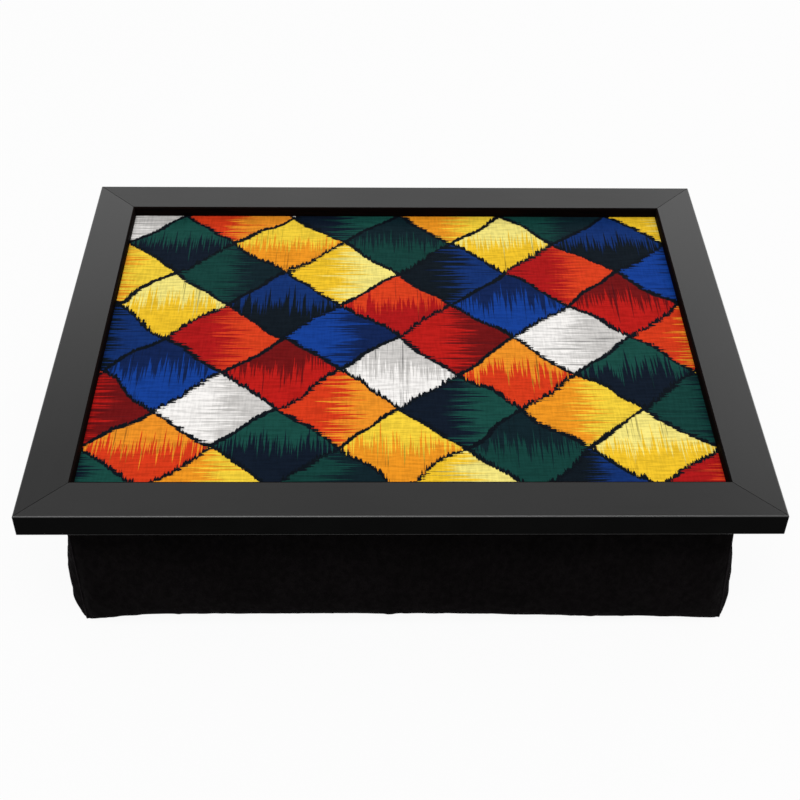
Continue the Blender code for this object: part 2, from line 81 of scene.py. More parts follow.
# What is looked for at a place lies within this of it.
NEAR = MM / 10
# A direction with this much of an axis in it runs along that axis.
ALONG = 0.9
# A place on the cube that the cover is made from, -1 to 1, counts as its edge past this.
ON_EDGE = 0.999

Colour = tuple[float, float, float]
Place = tuple[float, float, float]
Socket = bpy.types.NodeSocket
Piece = bpy.types.Object


class Side(Enum):
    """The sides of the tray, in the order of a walk round it that starts at the front."""

    FRONT = 0
    RIGHT = 1
    BACK = 2
    LEFT = 3

    @property
    def word(self) -> str:
        """The side's name as nodes are named."""
        return self.name.lower()

    @property
    def runs_along_x(self) -> bool:
        """Whether the side is one of the two long ones."""
        return self in (Side.FRONT, Side.BACK)


class Grain(Enum):
    """The way that a film or a timber runs, as stretches of its texture along X, Y and Z."""

    ALONG_X = (0.06, 1.0, 1.0)
    ALONG_Y = (1.0, 0.06, 1.0)


class RailFace(Enum):
    """What a face of the moulding is finished with, in the order of the rail's materials."""

    FILM = 0
    PAINT = 1
    STAIN = 2
    # The outer edges' film, lighter in colour as a painted highlight.
    RUBBED = 3


class TapeFace(Enum):
    """The two halves of a touch-and-close tape."""

    HOOK = "hook"
    LOOP = "loop"


class ItemKind(Enum):
    """What is picked in edit mode."""

    VERT = "verts"
    EDGE = "edges"
    FACE = "faces"


# Work at the bench


def linear(red: float, green: float, blue: float) -> Colour:
    """The linear colour of a screen colour.

    Args:
        red: Red, 0 to 255.
        green: Green, 0 to 255.
        blue: Blue, 0 to 255.

    Returns:
        The same colour as a shader takes it.
    """
    shares = (channel / 255 for channel in (red, green, blue))
    return tuple(s / 12.92 if s <= 0.04045 else ((s + 0.055) / 1.055) ** 2.4 for s in shares)


def select_only(piece: Piece) -> None:
    """Makes a piece the only one selected, and the active one.

    Args:
        piece: The piece.
    """
    bpy.ops.object.select_all(action="DESELECT")
    piece.select_set(True)
    bpy.context.view_layer.objects.active = piece


def set_in_place(piece: Piece) -> None:
    """Puts a piece's place, turn and scale into its mesh."""
    select_only(piece)
    bpy.ops.object.transform_apply(location=True, rotation=True, scale=True)


def smooth(piece: Piece) -> None:
    """Shades a piece smooth."""
    select_only(piece)
    bpy.ops.object.shade_smooth()


def join(piece: Piece, *others: Piece) -> None:
    """Joins other pieces to a piece.

    Args:
        piece: The piece.
        *others: What becomes part of it.
    """
    select_only(piece)
    for other in others:
        other.select_set(True)
    bpy.ops.object.join()


def in_scene(name: str, data: bpy.types.ID) -> Piece:
    """Puts a new object into the scene.

    Args:
        name: Its name.
        data: Its mesh, curve, lamp or camera.

    Returns:
        The object.
    """
    made = bpy.data.objects.new(name, data)
    bpy.context.scene.collection.objects.link(made)
    return made


def block(name: str, low: Sequence[float], high: Sequence[float]) -> Piece:
    """Adds the cube that a piece is shaped from.

    Args:
        name: The piece's name.
        low: Its lowest corner.
        high: Its highest corner.

    Returns:
        The piece, with its place in its mesh.
    """
    low, high = Vector(low), Vector(high)
    bpy.ops.object.select_all(action="DESELECT")
    bpy.ops.mesh.primitive_cube_add(size=1, location=(low + high) / 2, scale=high - low)
    piece = bpy.context.object
    piece.name = piece.data.name = name
    set_in_place(piece)
    return piece


@contextmanager
def edit_mode(piece: Piece) -> Iterator[None]:
    """Opens a piece in edit mode, and closes it again.

    Args:
        piece: The piece.
    """
    select_only(piece)
    bpy.ops.object.mode_set(mode="EDIT")
    yield
    bpy.ops.object.mode_set(mode="OBJECT")


def pick(piece: Piece, kind: ItemKind, wanted: Callable[[object], bool]) -> None:
    """Selects what passes a test, in a piece that is open in edit mode, and nothing else.

    Args:
        piece: The open piece.
        kind: What is picked.
        wanted: The test of a vertex, edge or face.
    """
    bpy.ops.mesh.select_mode(type=kind.name)
    bpy.ops.mesh.select_all(action="DESELECT")
    mesh = bmesh.from_edit_mesh(piece.data)
    mesh.normal_update()
    for item in getattr(mesh, kind.value):
        if wanted(item):
            item.select_set(True)
    mesh.select_flush_mode()
    bmesh.update_edit_mesh(piece.data)


def pick_all() -> None:
    """Selects everything in the open piece."""
    bpy.ops.mesh.select_all(action="SELECT")


def middle_of(edge: bmesh.types.BMEdge) -> Vector:
    """The middle of an edge."""
    return (edge.verts[0].co + edge.verts[1].co) / 2


def runs_along(edge: bmesh.types.BMEdge, axis: int) -> bool:
    """Whether an edge runs along an axis."""
    return abs((edge.verts[1].co - edge.verts[0].co).normalized()[axis]) > ALONG


def extrude(move: Sequence[float]) -> None:
    """Extrudes what is picked."""
    bpy.ops.mesh.extrude_region_move(TRANSFORM_OT_translate={"value": tuple(move)})


def shift(move: Sequence[float]) -> None:
    """Moves what is picked."""
    bpy.ops.transform.translate(value=tuple(move))


def round_edges(radius: float, segments: int = 2) -> None:
    """Rounds the edges that are picked."""
    bpy.ops.mesh.bevel(offset=radius, segments=segments, affect="EDGES")


def saw(place: Sequence[float], across: Sequence[float], is_cut_off: bool = False) -> None:
    """Cuts the whole open piece along a plane.

    Args:
        place: A point of the plane.
        across: The plane's normal.
        is_cut_off: Whether what lies past the plane is taken off and the cut closed.
    """
    pick_all()
    bpy.ops.mesh.bisect(plane_co=place, plane_no=across, use_fill=is_cut_off, clear_outer=is_cut_off)


def apply_modifier(piece: Piece, kind: str, **settings: object) -> None:
    """Adds a modifier to a piece and applies it.

    Args:
        piece: The piece.
        kind: Blender's name for the modifier's type.
        **settings: The modifier's settings.
    """
    modifier = piece.modifiers.new(kind.lower(), kind)
    for key, value in settings.items():
        setattr(modifier, key, value)
    select_only(piece)
    bpy.ops.object.modifier_apply(modifier=modifier.name)


def copy_of_node(name: str, node: str) -> Piece:
    """A copy of a CAD node, its loose triangles merged, as a new object.

    Args:
        name: The copy's name.
        node: The node.

    Returns:
        The copy.
    """
    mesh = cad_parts[node].data.copy()
    work = bmesh.new()
    work.from_mesh(mesh)
    bmesh.ops.remove_doubles(work, verts=work.verts, dist=WELD)
    work.to_mesh(mesh)
    work.free()
    mesh.materials.clear()
    return in_scene(name, mesh)


def carve(piece: Piece, cutter: Piece) -> None:
    """Cuts a cutter out of a piece, and removes the cutter."""
    apply_modifier(piece, "BOOLEAN", operation="DIFFERENCE", solver="EXACT", object=cutter)
    bpy.data.objects.remove(cutter, do_unlink=True)


def drawn_wire(
    name: str,
    points: Sequence[Sequence[float]],
    thickness: float,
    sides: int = 1,
    is_ring: bool = False,
) -> Piece:
    """A wire along a line of points, as a mesh.

    Args:
        name: The piece's name.
        points: The points, in the row frame.
        thickness: The wire's diameter.
        sides: Its bevel resolution.
        is_ring: Whether its last point leads back to its first.

    Returns:
        The wire.
    """
    curve = bpy.data.curves.new(name, "CURVE")
    curve.dimensions = "3D"
    curve.bevel_depth = thickness / 2
    curve.bevel_resolution = sides
    curve.use_fill_caps = True
    spline = curve.splines.new("POLY")
    spline.points.add(len(points) - 1)
    spline.points.foreach_set("co", [value for point in points for value in (*point, 1)])
    spline.use_cyclic_u = is_ring
    wire = in_scene(name, curve)
    select_only(wire)
    bpy.ops.object.convert(target="MESH")
    smooth(wire)
    with edit_mode(wire):
        pick_all()
        bpy.ops.mesh.remove_doubles(threshold=WELD)
    return wire


def coordinates(piece: Piece, kind: str = "co") -> np.ndarray:
    """What a piece's vertices hold, one row each.

    Args:
        piece: The piece.
        kind: co for their places, normal for their normals.

    Returns:
        The rows.
    """
    rows = np.empty(len(piece.data.vertices) * 3, np.float32)
    piece.data.vertices.foreach_get(kind, rows)
    return rows.reshape(-1, 3).astype(float)


def set_coordinates(piece: Piece, places: np.ndarray) -> None:
    """Moves a piece's vertices to their places, one row each."""
    piece.data.vertices.foreach_set("co", places.astype(np.float32).ravel())
    piece.data.update()


def report(piece: Piece) -> None:
    """Logs a finished piece."""
    LOG.info("%s: %d faces", piece.name, len(piece.data.polygons))


# Finishes


class NodeBench:
    """A material's node tree, laid out one texture at a time."""

    # Most of a noise lies between these.
    NOISE_RANGE = (0.3, 0.7)
    # From one band of a wave texture to the next, at a scale of 1.
    BAND_PITCH = math.pi / 10

    def __init__(self, name: str) -> None:
        """Starts a material with its shader and its Object coordinates.

        Args:
            name: The material's name.
        """
        self.material = bpy.data.materials.new(name)
        self.material.use_nodes = True
        self.tree = self.material.node_tree
        self.shader = self.tree.nodes["Principled BSDF"]
        self.place = self.add("ShaderNodeTexCoord").outputs["Object"]

    def add(self, kind: str, **settings: object) -> bpy.types.Node:
        """Adds a node.

        Args:
            kind: Blender's name for its type.
            **settings: Its settings.

        Returns:
            The node.
        """
        node = self.tree.nodes.new(kind)
        for key, value in settings.items():
            setattr(node, key, value)
        return node

    def feed(self, socket: Socket, value: object) -> None:
        """Links a socket to another one, or sets it.

        Args:
            socket: The socket that is fed.
            value: A socket or a value.
        """
        if isinstance(value, bpy.types.NodeSocket):
            self.tree.links.new(value, socket)
        else:
            socket.default_value = value

    def texture(
        self, kind: str, source: Socket, numbers: dict[str, object], **settings: object
    ) -> bpy.types.Node:
        """Adds a texture.

        Args:
            kind: Blender's name for its type.
            source: Its coordinates.
            numbers: What its other sockets hold, under their names.
            **settings: Its settings.

        Returns:
            Its node.
        """
        node = self.add(kind, **settings)
        self.feed(node.inputs["Vector"], source)
        for key, value in numbers.items():
            node.inputs[key].default_value = value
        return node

    def stretched(self, scale: Sequence[float]) -> Socket:
        """Object coordinates scaled along X, Y and Z."""
        return self.texture("ShaderNodeMapping", self.place, {"Scale": scale}).outputs["Vector"]

    def noise(
        self, source: Socket, scale: float = 1.0, detail: float = 2.0, roughness: float = 0.5
    ) -> Socket:
        """Soft noise from 0 to 1.

        Args:
            source: Its coordinates.
            scale: Features to a unit.
            detail: Octaves.
            roughness: How strong the finer octaves are.

        Returns:
            Its value.
        """
        numbers = {"Scale": scale, "Detail": detail, "Roughness": roughness}
        return self.texture("ShaderNodeTexNoise", source, numbers).outputs[0]

    def bands(self, axis: str, pitch: float, wobble: float) -> Socket:
        """Even bands across an axis, from 0 to 1.

        Args:
            axis: X, Y, Z or DIAGONAL.
            pitch: From one band to the next; slanting ones are twice as far apart along each axis.
            wobble: How far noise bends them.

        Returns:
            Their value.
        """
        numbers = {"Scale": self.BAND_PITCH / pitch, "Distortion": wobble, "Detail": 1.0}
        kinds = {"wave_type": "BANDS", "bands_direction": axis}
        return self.texture("ShaderNodeTexWave", self.place, numbers, **kinds).outputs["Fac"]

    def cells(self, count: float) -> Socket:
        """Cells round scattered points, so many to a metre: how far each place is from its own."""
        source = self.stretched((count, count, count))
        return self.texture("ShaderNodeTexVoronoi", source, {"Scale": 1.0}).outputs["Distance"]

    def calc(self, operation: str, *values: object) -> Socket:
        """A sum on one, two or three values.

        Args:
            operation: Blender's name for it.
            *values: Sockets or numbers.

        Returns:
            The result.
        """
        node = self.add("ShaderNodeMath", operation=operation)
        for socket, value in zip(node.inputs, values):
            self.feed(socket, value)
        return node.outputs[0]

    def plus(self, base: Socket, extra: Socket, share: float) -> Socket:
        """One value, and a share of another on top."""
        return self.calc("MULTIPLY_ADD", extra, share, base)

    def strayed(self, value: Socket, guide: Socket, distance: float) -> Socket:
        """A value that a noise moves to either side, over a distance in all."""
        return self.plus(value, self.calc("SUBTRACT", guide, 0.5), distance)

    def fade(self, value: Socket, low: float, high: float, start: float = 0.0, end: float = 1.0) -> Socket:
        """A soft step.

        Args:
            value: What is looked at.
            low: Where the step starts.
            high: Where it ends.
            start: The result before it.
            end: The result after it.

        Returns:
            The stepped value.
        """
        node = self.add("ShaderNodeMapRange", interpolation_type="SMOOTHSTEP")
        for socket, number in zip(node.inputs, (value, low, high, start, end)):
            self.feed(socket, number)
        return node.outputs[0]

    def spread(self, value: Socket, start: float = 0.0, end: float = 1.0) -> Socket:
        """A noise made to run from one number to another."""
        return self.fade(value, *self.NOISE_RANGE, start, end)

    def mixed(self, share: object, first: object, second: object) -> Socket:
        """One colour laid over another.

        Args:
            share: How much of the second there is.
            first: A colour or a socket.
            second: A colour or a socket.

        Returns:
            The mixed colour.
        """
        node = self.add("ShaderNodeMix", data_type="RGBA")
        self.feed(node.inputs[0], share)
        for socket, colour in ((node.inputs[6], first), (node.inputs[7], second)):
            self.feed(socket, colour if isinstance(colour, bpy.types.NodeSocket) else (*colour, 1.0))
        return node.outputs[2]

    def chosen(self, share: Socket, first: Socket, second: Socket) -> Socket:
        """One value or another.

        Args:
            share: 0 for the first, 1 for the second.
            first: A value.
            second: A value.

        Returns:
            The chosen value.
        """
        node = self.add("ShaderNodeMix", data_type="FLOAT")
        for socket, value in ((node.inputs[0], share), (node.inputs[2], first), (node.inputs[3], second)):
            self.feed(socket, value)
        return node.outputs[0]

    def shaded(self, colour: object, share: Socket) -> Socket:
        """A colour made lighter or darker.

        Args:
            colour: A colour or a socket.
            share: What it is multiplied by.

        Returns:
            The shaded colour.
        """
        node = self.add("ShaderNodeVectorMath", operation="SCALE")
        self.feed(node.inputs[0], colour)
        self.feed(node.inputs["Scale"], share)
        return node.outputs[0]

    def steps(self, value: Socket, colours: Sequence[Colour]) -> Socket:
        """Colours in equal steps from 0 to 1.

        Args:
            value: What picks the colour.
            colours: The colours in order.

        Returns:
            The colour.
        """
        node = self.add("ShaderNodeValToRGB")
        ramp = node.color_ramp
        ramp.interpolation = "CONSTANT"
        for number, colour in enumerate(colours):
            share = number / len(colours)
            stop = ramp.elements[0] if number == 0 else ramp.elements.new(share)
            stop.position, stop.color = share, (*colour, 1.0)
        ramp.elements.remove(ramp.elements[-1])
        self.feed(node.inputs[0], value)
        return node.outputs[0]

    def bump(self, height: Socket, distance: float, strength: float) -> None:
        """Presses a height into the surface.

        Args:
            height: The height, 1 being the highest.
            distance: How high that is.
            strength: How much of the bump shows.
        """
        node = self.add("ShaderNodeBump")
        for key, value in (("Height", height), ("Distance", distance), ("Strength", strength)):
            self.feed(node.inputs[key], value)
        self.feed(self.shader.inputs["Normal"], node.outputs["Normal"])

    def finish(self, colour: object, roughness: object, **constants: object) -> None:
        """Sets the shader.

        Args:
            colour: A colour or a socket.
            roughness: A number or a socket.
            **constants: The shader's other sockets, with _ for each space.
        """
        self.feed(self.shader.inputs["Base Color"], colour)
        self.feed(self.shader.inputs["Roughness"], roughness)
        for key, value in constants.items():
            self.shader.inputs[key.replace("_", " ")].default_value = value


@dataclass(frozen=True)
class Finish:
    """A finish, under its own name and the record's.

    Attributes:
        name: The material's name.
        slot: The record's material slot.
    """

    name: str
    slot: str

    def lay(self, bench: NodeBench) -> None:
        """Lays the finish's nodes out on its bench; each finish has its own."""
        raise NotImplementedError

    def material(self) -> bpy.types.Material:
        """The finish's material, made when it is first asked for.

        Returns:
            The material.
        """
        if self.name not in bpy.data.materials:
            self.lay(NodeBench(self.name))
        return bpy.data.materials[self.name]

    def dress(self, piece: Piece) -> None:
        """Gives a whole piece this finish.

        Args:
            piece: The piece, new or a CAD node.
        """
        if piece.material_slots:
            for material_slot in piece.material_slots:
                material_slot.material = self.material()
        else:
            piece.data.materials.append(self.material())


@dataclass(frozen=True)
class SatinFoil(Finish):
    """The satin film on the moulding's face.

    Attributes:
        grain: The way it was drawn along the rail.
        shade: Its colour, alike in red, green and blue.
        gloss: The least and the most roughness.
        brushing: How much more it spreads a light across the rail than along it.
        lustre: Its index of refraction, higher on the film of the outer edges.
        uneven: The least and the most share of its colour, in broad sweeps.
        streak: How much lighter and darker the drawn lines are.
    """

    grain: Grain = Grain.ALONG_X
    shade: float = 0.0025
    gloss: tuple[float, float] = (0.285, 0.365)
    brushing: float = 0.55
    lustre: float = 1.342
    uneven: tuple[float, float] = (0.7, 1.2)
    streak: float = 0.08

    def lay(self, bench: NodeBench) -> None:
        """Broad soft sweeps, faint drawn lines across which light spreads, and a fine orange peel.

        Args:
            bench: The material's bench.
        """
        sweep = bench.noise(bench.place, scale=7)
        drawn = bench.noise(bench.stretched(self.grain.value), scale=420, detail=3)
        streaks = bench.spread(drawn, -self.streak, self.streak)
        tone = bench.calc("ADD", bench.spread(sweep, *self.uneven), streaks)
        peel = bench.plus(bench.noise(bench.place, scale=900, detail=1), drawn, share=0.5)
        bench.bump(peel, distance=0.02 * MM, strength=0.35)
        across = bench.add("ShaderNodeCombineXYZ")
        across.inputs["X" if self.grain is Grain.ALONG_Y else "Y"].default_value = 1.0
        bench.feed(bench.shader.inputs["Tangent"], across.outputs[0])
        roughness = bench.fade(bench.plus(sweep, drawn, share=0.4), 0.4, 1.0, *self.gloss)
        colour = bench.shaded((self.shade,) * 3, tone)
        bench.finish(colour, roughness, IOR=self.lustre, Anisotropic=self.brushing)


@dataclass(frozen=True)
class MattPaint(Finish):
    """The matt black on the moulding's outer side.

    Attributes:
        shade: Its colour, alike in red, green and blue.
        uneven: The least and the most share of its colour, in clouds.
        gloss: The least and the most roughness.
    """

    shade: float = 0.0022
    uneven: tuple[float, float] = (0.7, 1.4)
    gloss: tuple[float, float] = (0.55, 0.7)

    def lay(self, bench: NodeBench) -> None:
        """Near black, with the soft clouds of an unevenly worn paint.

        Args:
            bench: The material's bench.
        """
        cloud = bench.noise(bench.place, scale=30, detail=4)
        bench.bump(bench.noise(bench.place, scale=1400, detail=1), distance=0.02 * MM, strength=0.4)
        colour = bench.shaded((self.shade,) * 3, bench.spread(cloud, *self.uneven))
        bench.finish(colour, bench.spread(cloud, *self.gloss), Specular_IOR_Level=0.014)


@dataclass(frozen=True)
class StainedTimber(Finish):
    """The stained wood of the lip's inner wall and of the frame's underside.

    Attributes:
        grain: The way its fibres run.
        dark: The stain's colour.
        red: The colour of the wood that shows through.
    """

    grain: Grain = Grain.ALONG_X
    dark: Colour = (0.0011, 0.0006, 0.0005)
    red: Colour = (0.0058, 0.0019, 0.0013)

    def lay(self, bench: NodeBench) -> None:
        """A near-black stain that lets some reddish grain through.

        Args:
            bench: The material's bench.
        """
        along = bench.stretched(self.grain.value)
        fibre = bench.noise(along, scale=700, detail=4, roughness=0.65)
        figure = bench.noise(along, scale=90)
        share = bench.calc("MULTIPLY", bench.fade(fibre, 0.35, 0.7), bench.spread(figure, 0.4, 1.0))
        bench.bump(fibre, distance=0.06 * MM, strength=0.6)
        colour = bench.mixed(share, self.dark, self.red)
        bench.finish(colour, bench.spread(fibre, 0.6, 0.85), Specular_IOR_Level=0.02)


def opening() -> tuple[float, float]:
    """The width and depth that the rails leave open."""
    return 2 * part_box("right_rail")[0].x, -2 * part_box("front_rail")[1].y


@dataclass(frozen=True)
class LozengePrint(Finish):
    """A harlequin of brushed lozenges, printed under a linen emboss.

    Attributes:
        across: Lozenges to the panel's width.
        deep: Lozenges to its depth.
        size: The width and depth of the panel that show.
        line: Half the width of the dark ground between two lozenges.
        line_fade: Over what distance the ground ends.
        wobble: How far the hand strays.
        ragged: How far the bristles stray at an edge.
        dryness: How far a stroke's bristles run out before its end, in half lozenges.
    """

    across: int = 5
    deep: int = 4
    size: tuple[float, float] = field(default_factory=opening)
    line: float = 1.2 * MM
    line_fade: float = 0.7 * MM
    wobble: float = 16 * MM
    ragged: float = 7 * MM
    dryness: float = 2.6

    # How far the colours step on from one lozenge to the next, up to the right and down to the right.
    COLOUR_STEPS: ClassVar[tuple[int, int]] = (3, 4)
    # Bristles, the hand's wobble and threads, along X and along Y, as cells a metre along X, Y and Z.
    BRISTLES: ClassVar[tuple[Place, Place]] = ((9, 620, 1), (620, 9, 1))
    HANDS: ClassVar[tuple[Place, Place]] = ((14, 30, 1), (30, 14, 2))
    WEFT: ClassVar[Place] = (70, 560, 1)
    WARP: ClassVar[Place] = (700, 90, 1)

    GROUND: ClassVar[Colour] = linear(10, 17, 24)
    FIRST_COAT: ClassVar[tuple[Colour, ...]] = (
        linear(186, 28, 24),
        linear(14, 24, 38),
        linear(243, 197, 44),
        linear(20, 62, 146),
        linear(214, 58, 26),
        linear(19, 62, 57),
        linear(172, 24, 25),
        linear(246, 243, 240),
        linear(238, 150, 34),
        linear(13, 22, 30),
    )
    SECOND_COAT: ClassVar[tuple[Colour, ...]] = (
        linear(104, 18, 20),
        linear(24, 74, 66),
        linear(247, 233, 132),
        linear(15, 32, 72),
        linear(240, 150, 40),
        linear(14, 30, 38),
        linear(222, 66, 30),
        linear(204, 201, 198),
        linear(246, 212, 62),
        linear(19, 50, 112),
    )

    def lay(self, bench: NodeBench) -> None:
        """Lays out the lattice, its two coats, the bare ends of the strokes and the emboss.

        Args:
            bench: The material's bench.
        """
        sizes = (self.size[0] / self.across, self.size[1] / self.deep)
        bristles = [bench.noise(bench.stretched(way), detail=3, roughness=0.65) for way in self.BRISTLES]
        hands = [bench.noise(bench.stretched(way), detail=1) for way in self.HANDS]
        split = bench.add("ShaderNodeSeparateXYZ")
        bench.feed(split.inputs[0], bench.place)
        ways = []
        for place, bristle, hand, size in zip(split.outputs, bristles, hands, sizes):
            moved = bench.strayed(bench.strayed(place, bristle, self.ragged), hand, self.wobble)
            ways.append(bench.calc("DIVIDE", moved, size))
        rising, falling = bench.calc("ADD", *ways), bench.calc("SUBTRACT", *ways)
        row, column = bench.calc("FLOOR", rising), bench.calc("FLOOR", falling)
        rise, fall = bench.calc("FRACT", rising), bench.calc("FRACT", falling)
        upright = bench.calc("FLOORED_MODULO", bench.calc("ADD", row, column), 2)
        bristle = bench.chosen(upright, *bristles)
        across = bench.calc("SUBTRACT", bench.calc("ADD", rise, fall), 1)
        stroke = bench.chosen(upright, across, bench.calc("SUBTRACT", rise, fall))
        number = self.lozenge_number(bench, row, column)
        coats = [bench.steps(number, coat) for coat in (self.FIRST_COAT, self.SECOND_COAT)]
        brushed = bench.strayed(stroke, bristle, self.dryness)
        colour = bench.mixed(bench.fade(brushed, 0.0, 0.12, 0.0, 0.94), *coats)
        thin = [bench.fade(bristle, 0.58, 0.66), bench.fade(hands[0], 0.45, 0.6, 0.0, 0.6)]
        colour = bench.mixed(bench.calc("MULTIPLY", *thin), colour, self.GROUND)
        inside = bench.strayed(self.edge_distance(bench, rise, fall, sizes), bristle, self.ragged)
        colour = bench.mixed(bench.fade(inside, self.line, self.line + self.line_fade), self.GROUND, colour)
        weft = bench.noise(bench.stretched(self.WEFT), roughness=0.6)
        warp = bench.noise(bench.stretched(self.WARP), detail=1)
        linen = bench.plus(weft, warp, share=0.45)
        bench.bump(linen, distance=0.12 * MM, strength=0.5)
        colour = bench.shaded(colour, bench.fade(linen, 0.52, 0.9, 0.8, 1.07))
        bench.finish(colour, bench.fade(linen, 0.4, 1.0, 0.62, 0.48), Specular_IOR_Level=0.012)

    def lozenge_number(self, bench: NodeBench, row: Socket, column: Socket) -> Socket:
        """Where a lozenge is in the sequence of colours, which steps on in both directions.

        Args:
            bench: The material's bench.
            row: The lozenge's row.
            column: Its column.

        Returns:
            Its number, as a share of the sequence.
        """
        count = len(self.FIRST_COAT)
        row_step, column_step = self.COLOUR_STEPS
        steps = bench.plus(bench.calc("MULTIPLY", row, row_step), column, column_step)
        number = bench.calc("FLOORED_MODULO", steps, count)
        return bench.calc("DIVIDE", bench.calc("ADD", number, 0.5), count)

    @staticmethod
    def edge_distance(bench: NodeBench, rise: Socket, fall: Socket, sizes: tuple[float, float]) -> Socket:
        """How far a place is inside its lozenge.

        Args:
            bench: The material's bench.
            rise: How far up to the right the place is, as a share of the lozenge.
            fall: The same, down to the right.
            sizes: The lozenge's width and depth.

        Returns:
            The distance in metres.
        """
        nearest = [bench.calc("MINIMUM", way, bench.calc("SUBTRACT", 1.0, way)) for way in (rise, fall)]
        return bench.calc("MULTIPLY", bench.calc("MINIMUM", *nearest), math.prod(sizes) / math.hypot(*sizes))


@dataclass(frozen=True)
class Fibreboard(Finish):
    """Medium density fibreboard: pale brown felted fibres.

    Attributes:
        tones: The two colours of its fibres.
        specks: The colour of its specks.
    """

    tones: tuple[Colour, Colour] = (linear(122, 92, 62), linear(166, 132, 94))
    specks: Colour = linear(70, 48, 30)

    def lay(self, bench: NodeBench) -> None:
        """Short fibres in two tones, with a few dark specks.

        Args:
            bench: The material's bench.
        """
        fibre = bench.noise(bench.stretched((500, 900, 1800)), detail=4, roughness=0.7)
        colour = bench.mixed(bench.fade(fibre, 0.35, 0.65), *self.tones)
        colour = bench.mixed(bench.fade(bench.cells(900), 0.12, 0.2, 0.6, 0.0), colour, self.specks)
        bench.bump(fibre, distance=0.08 * MM, strength=0.5)
        bench.finish(colour, bench.spread(fibre, 0.7, 0.9))


@dataclass(frozen=True)
class ScreenedHardboard(Finish):
    """Black hardboard, with the print of the wire screen that it was pressed on.

    Attributes:
        screen: From one wire of the screen to the next.
        tones: The two colours of its fibres.
    """

    screen: float = 1.1 * MM
    tones: tuple[Colour, Colour] = ((0.012, 0.0105, 0.0095), (0.034, 0.029, 0.025))

    def lay(self, bench: NodeBench) -> None:
        """The crossed wires of the screen over dark felted fibres.

        Args:
            bench: The material's bench.
        """
        pressed = bench.calc("MULTIPLY", *(bench.bands(axis, self.screen, wobble=0.4) for axis in "XY"))
        fibre = bench.noise(bench.place, scale=700, detail=4, roughness=0.7)
        bench.bump(bench.plus(pressed, fibre, share=0.4), distance=0.12 * MM, strength=0.7)
        colour = bench.mixed(bench.fade(fibre, 0.35, 0.7), *self.tones)
        bench.finish(colour, bench.fade(pressed, 0.0, 1.0, 0.85, 0.6), Specular_IOR_Level=0.25)


@dataclass(frozen=True)
class ZincSteel(Finish):
    """Zinc-plated steel.

    Attributes:
        bright: Its colour where it is clean.
        dull: Its colour where it has dulled.
    """

    bright: Colour = (0.60, 0.61, 0.62)
    dull: Colour = (0.36, 0.35, 0.33)

    def lay(self, bench: NodeBench) -> None:
        """Small crystals of zinc, drawn lines and a few dull spots.

        Args:
            bench: The material's bench.
        """
        dull = bench.noise(bench.place, scale=160, detail=3)
        colour = bench.mixed(bench.fade(dull, 0.5, 0.75, 0.0, 0.6), self.bright, self.dull)
        bench.bump(bench.noise(bench.stretched((250, 2500, 2500))), distance=0.01 * MM, strength=0.4)
        crystals = bench.fade(bench.cells(600), 0.1, 0.8, 0.85, 1.1)
        roughness = bench.fade(dull, 0.3, 0.75, 0.26, 0.5)
        bench.finish(bench.shaded(colour, crystals), roughness, Metallic=1.0)


@dataclass(frozen=True)
class Velour(Finish):
    """Black velour: short pile that lies this way and that over the beads.

    Attributes:
        shade: Its middle colour.
        stroke: The size of a patch of pile that lies one way.
        bloom: Weight of its sheen.
        bloom_tint: Colour of its sheen.
    """

    shade: Colour = (0.0041, 0.0034, 0.0036)
    stroke: float = 4 * MM
    bloom: float = 0.004
    bloom_tint: Colour = (0.9, 0.82, 0.86)

    def lay(self, bench: NodeBench) -> None:
        """Stroked patches, the dimples of the beads, and the pile itself.

        Args:
            bench: The material's bench.
        """
        patch = bench.noise(bench.stretched((1.0, 1.0, 0.8)), scale=1 / self.stroke, detail=3, roughness=0.6)
        stroked = bench.noise(bench.place, scale=28)
        pile = bench.noise(bench.stretched((1.0, 1.0, 0.6)), scale=2600, detail=1)
        tone = bench.calc("MULTIPLY", bench.spread(patch, 0.82, 1.22), bench.spread(stroked, 0.88, 1.14))
        tone = bench.calc("MULTIPLY", tone, bench.spread(pile, 0.75, 1.2))
        bench.bump(bench.plus(patch, pile, share=0.35), distance=0.5 * MM, strength=0.45)
        bench.finish(
            bench.shaded(self.shade, tone),
            bench.spread(patch, 1.0, 0.85),
            Specular_IOR_Level=0.01,
            Sheen_Weight=self.bloom,
            Sheen_Roughness=0.45,
            Sheen_Tint=(*self.bloom_tint, 1.0),
        )


@dataclass(frozen=True)
class WovenTape(Finish):
    """Black woven nylon: the ground of the touch-and-close tapes and the zip's tapes.

    Attributes:
        pitch: Width of a thread of the weave.
        ribs: Threads to a slanting rib.
        yarns: Yarns to a thread.
        shade: Its colour.
    """

    pitch: float = 0.7 * MM
    ribs: float = 1 / 0.6
    yarns: float = 2.3
    shade: Colour = (0.012, 0.012, 0.013)

    def lay(self, bench: NodeBench) -> None:
        """A twill of slanting ribs crossed by fine yarns.

        Args:
            bench: The material's bench.
        """
        rib = bench.bands("DIAGONAL", self.pitch * self.ribs, wobble=0.3)
        yarn = bench.bands("X", self.pitch / self.yarns, wobble=0.6)
        weave = bench.plus(rib, yarn, share=0.4)
        bench.bump(weave, distance=0.12 * MM, strength=0.8)
        lint = bench.noise(bench.place, scale=2400)
        tone = bench.calc("MULTIPLY", bench.fade(weave, 0.0, 1.4, 0.55, 1.4), bench.spread(lint, 0.8, 1.2))
        sheen = {"Sheen_Weight": 0.08, "Sheen_Roughness": 0.5}
        bench.finish(bench.shaded(self.shade, tone), 0.8, Specular_IOR_Level=0.2, **sheen)


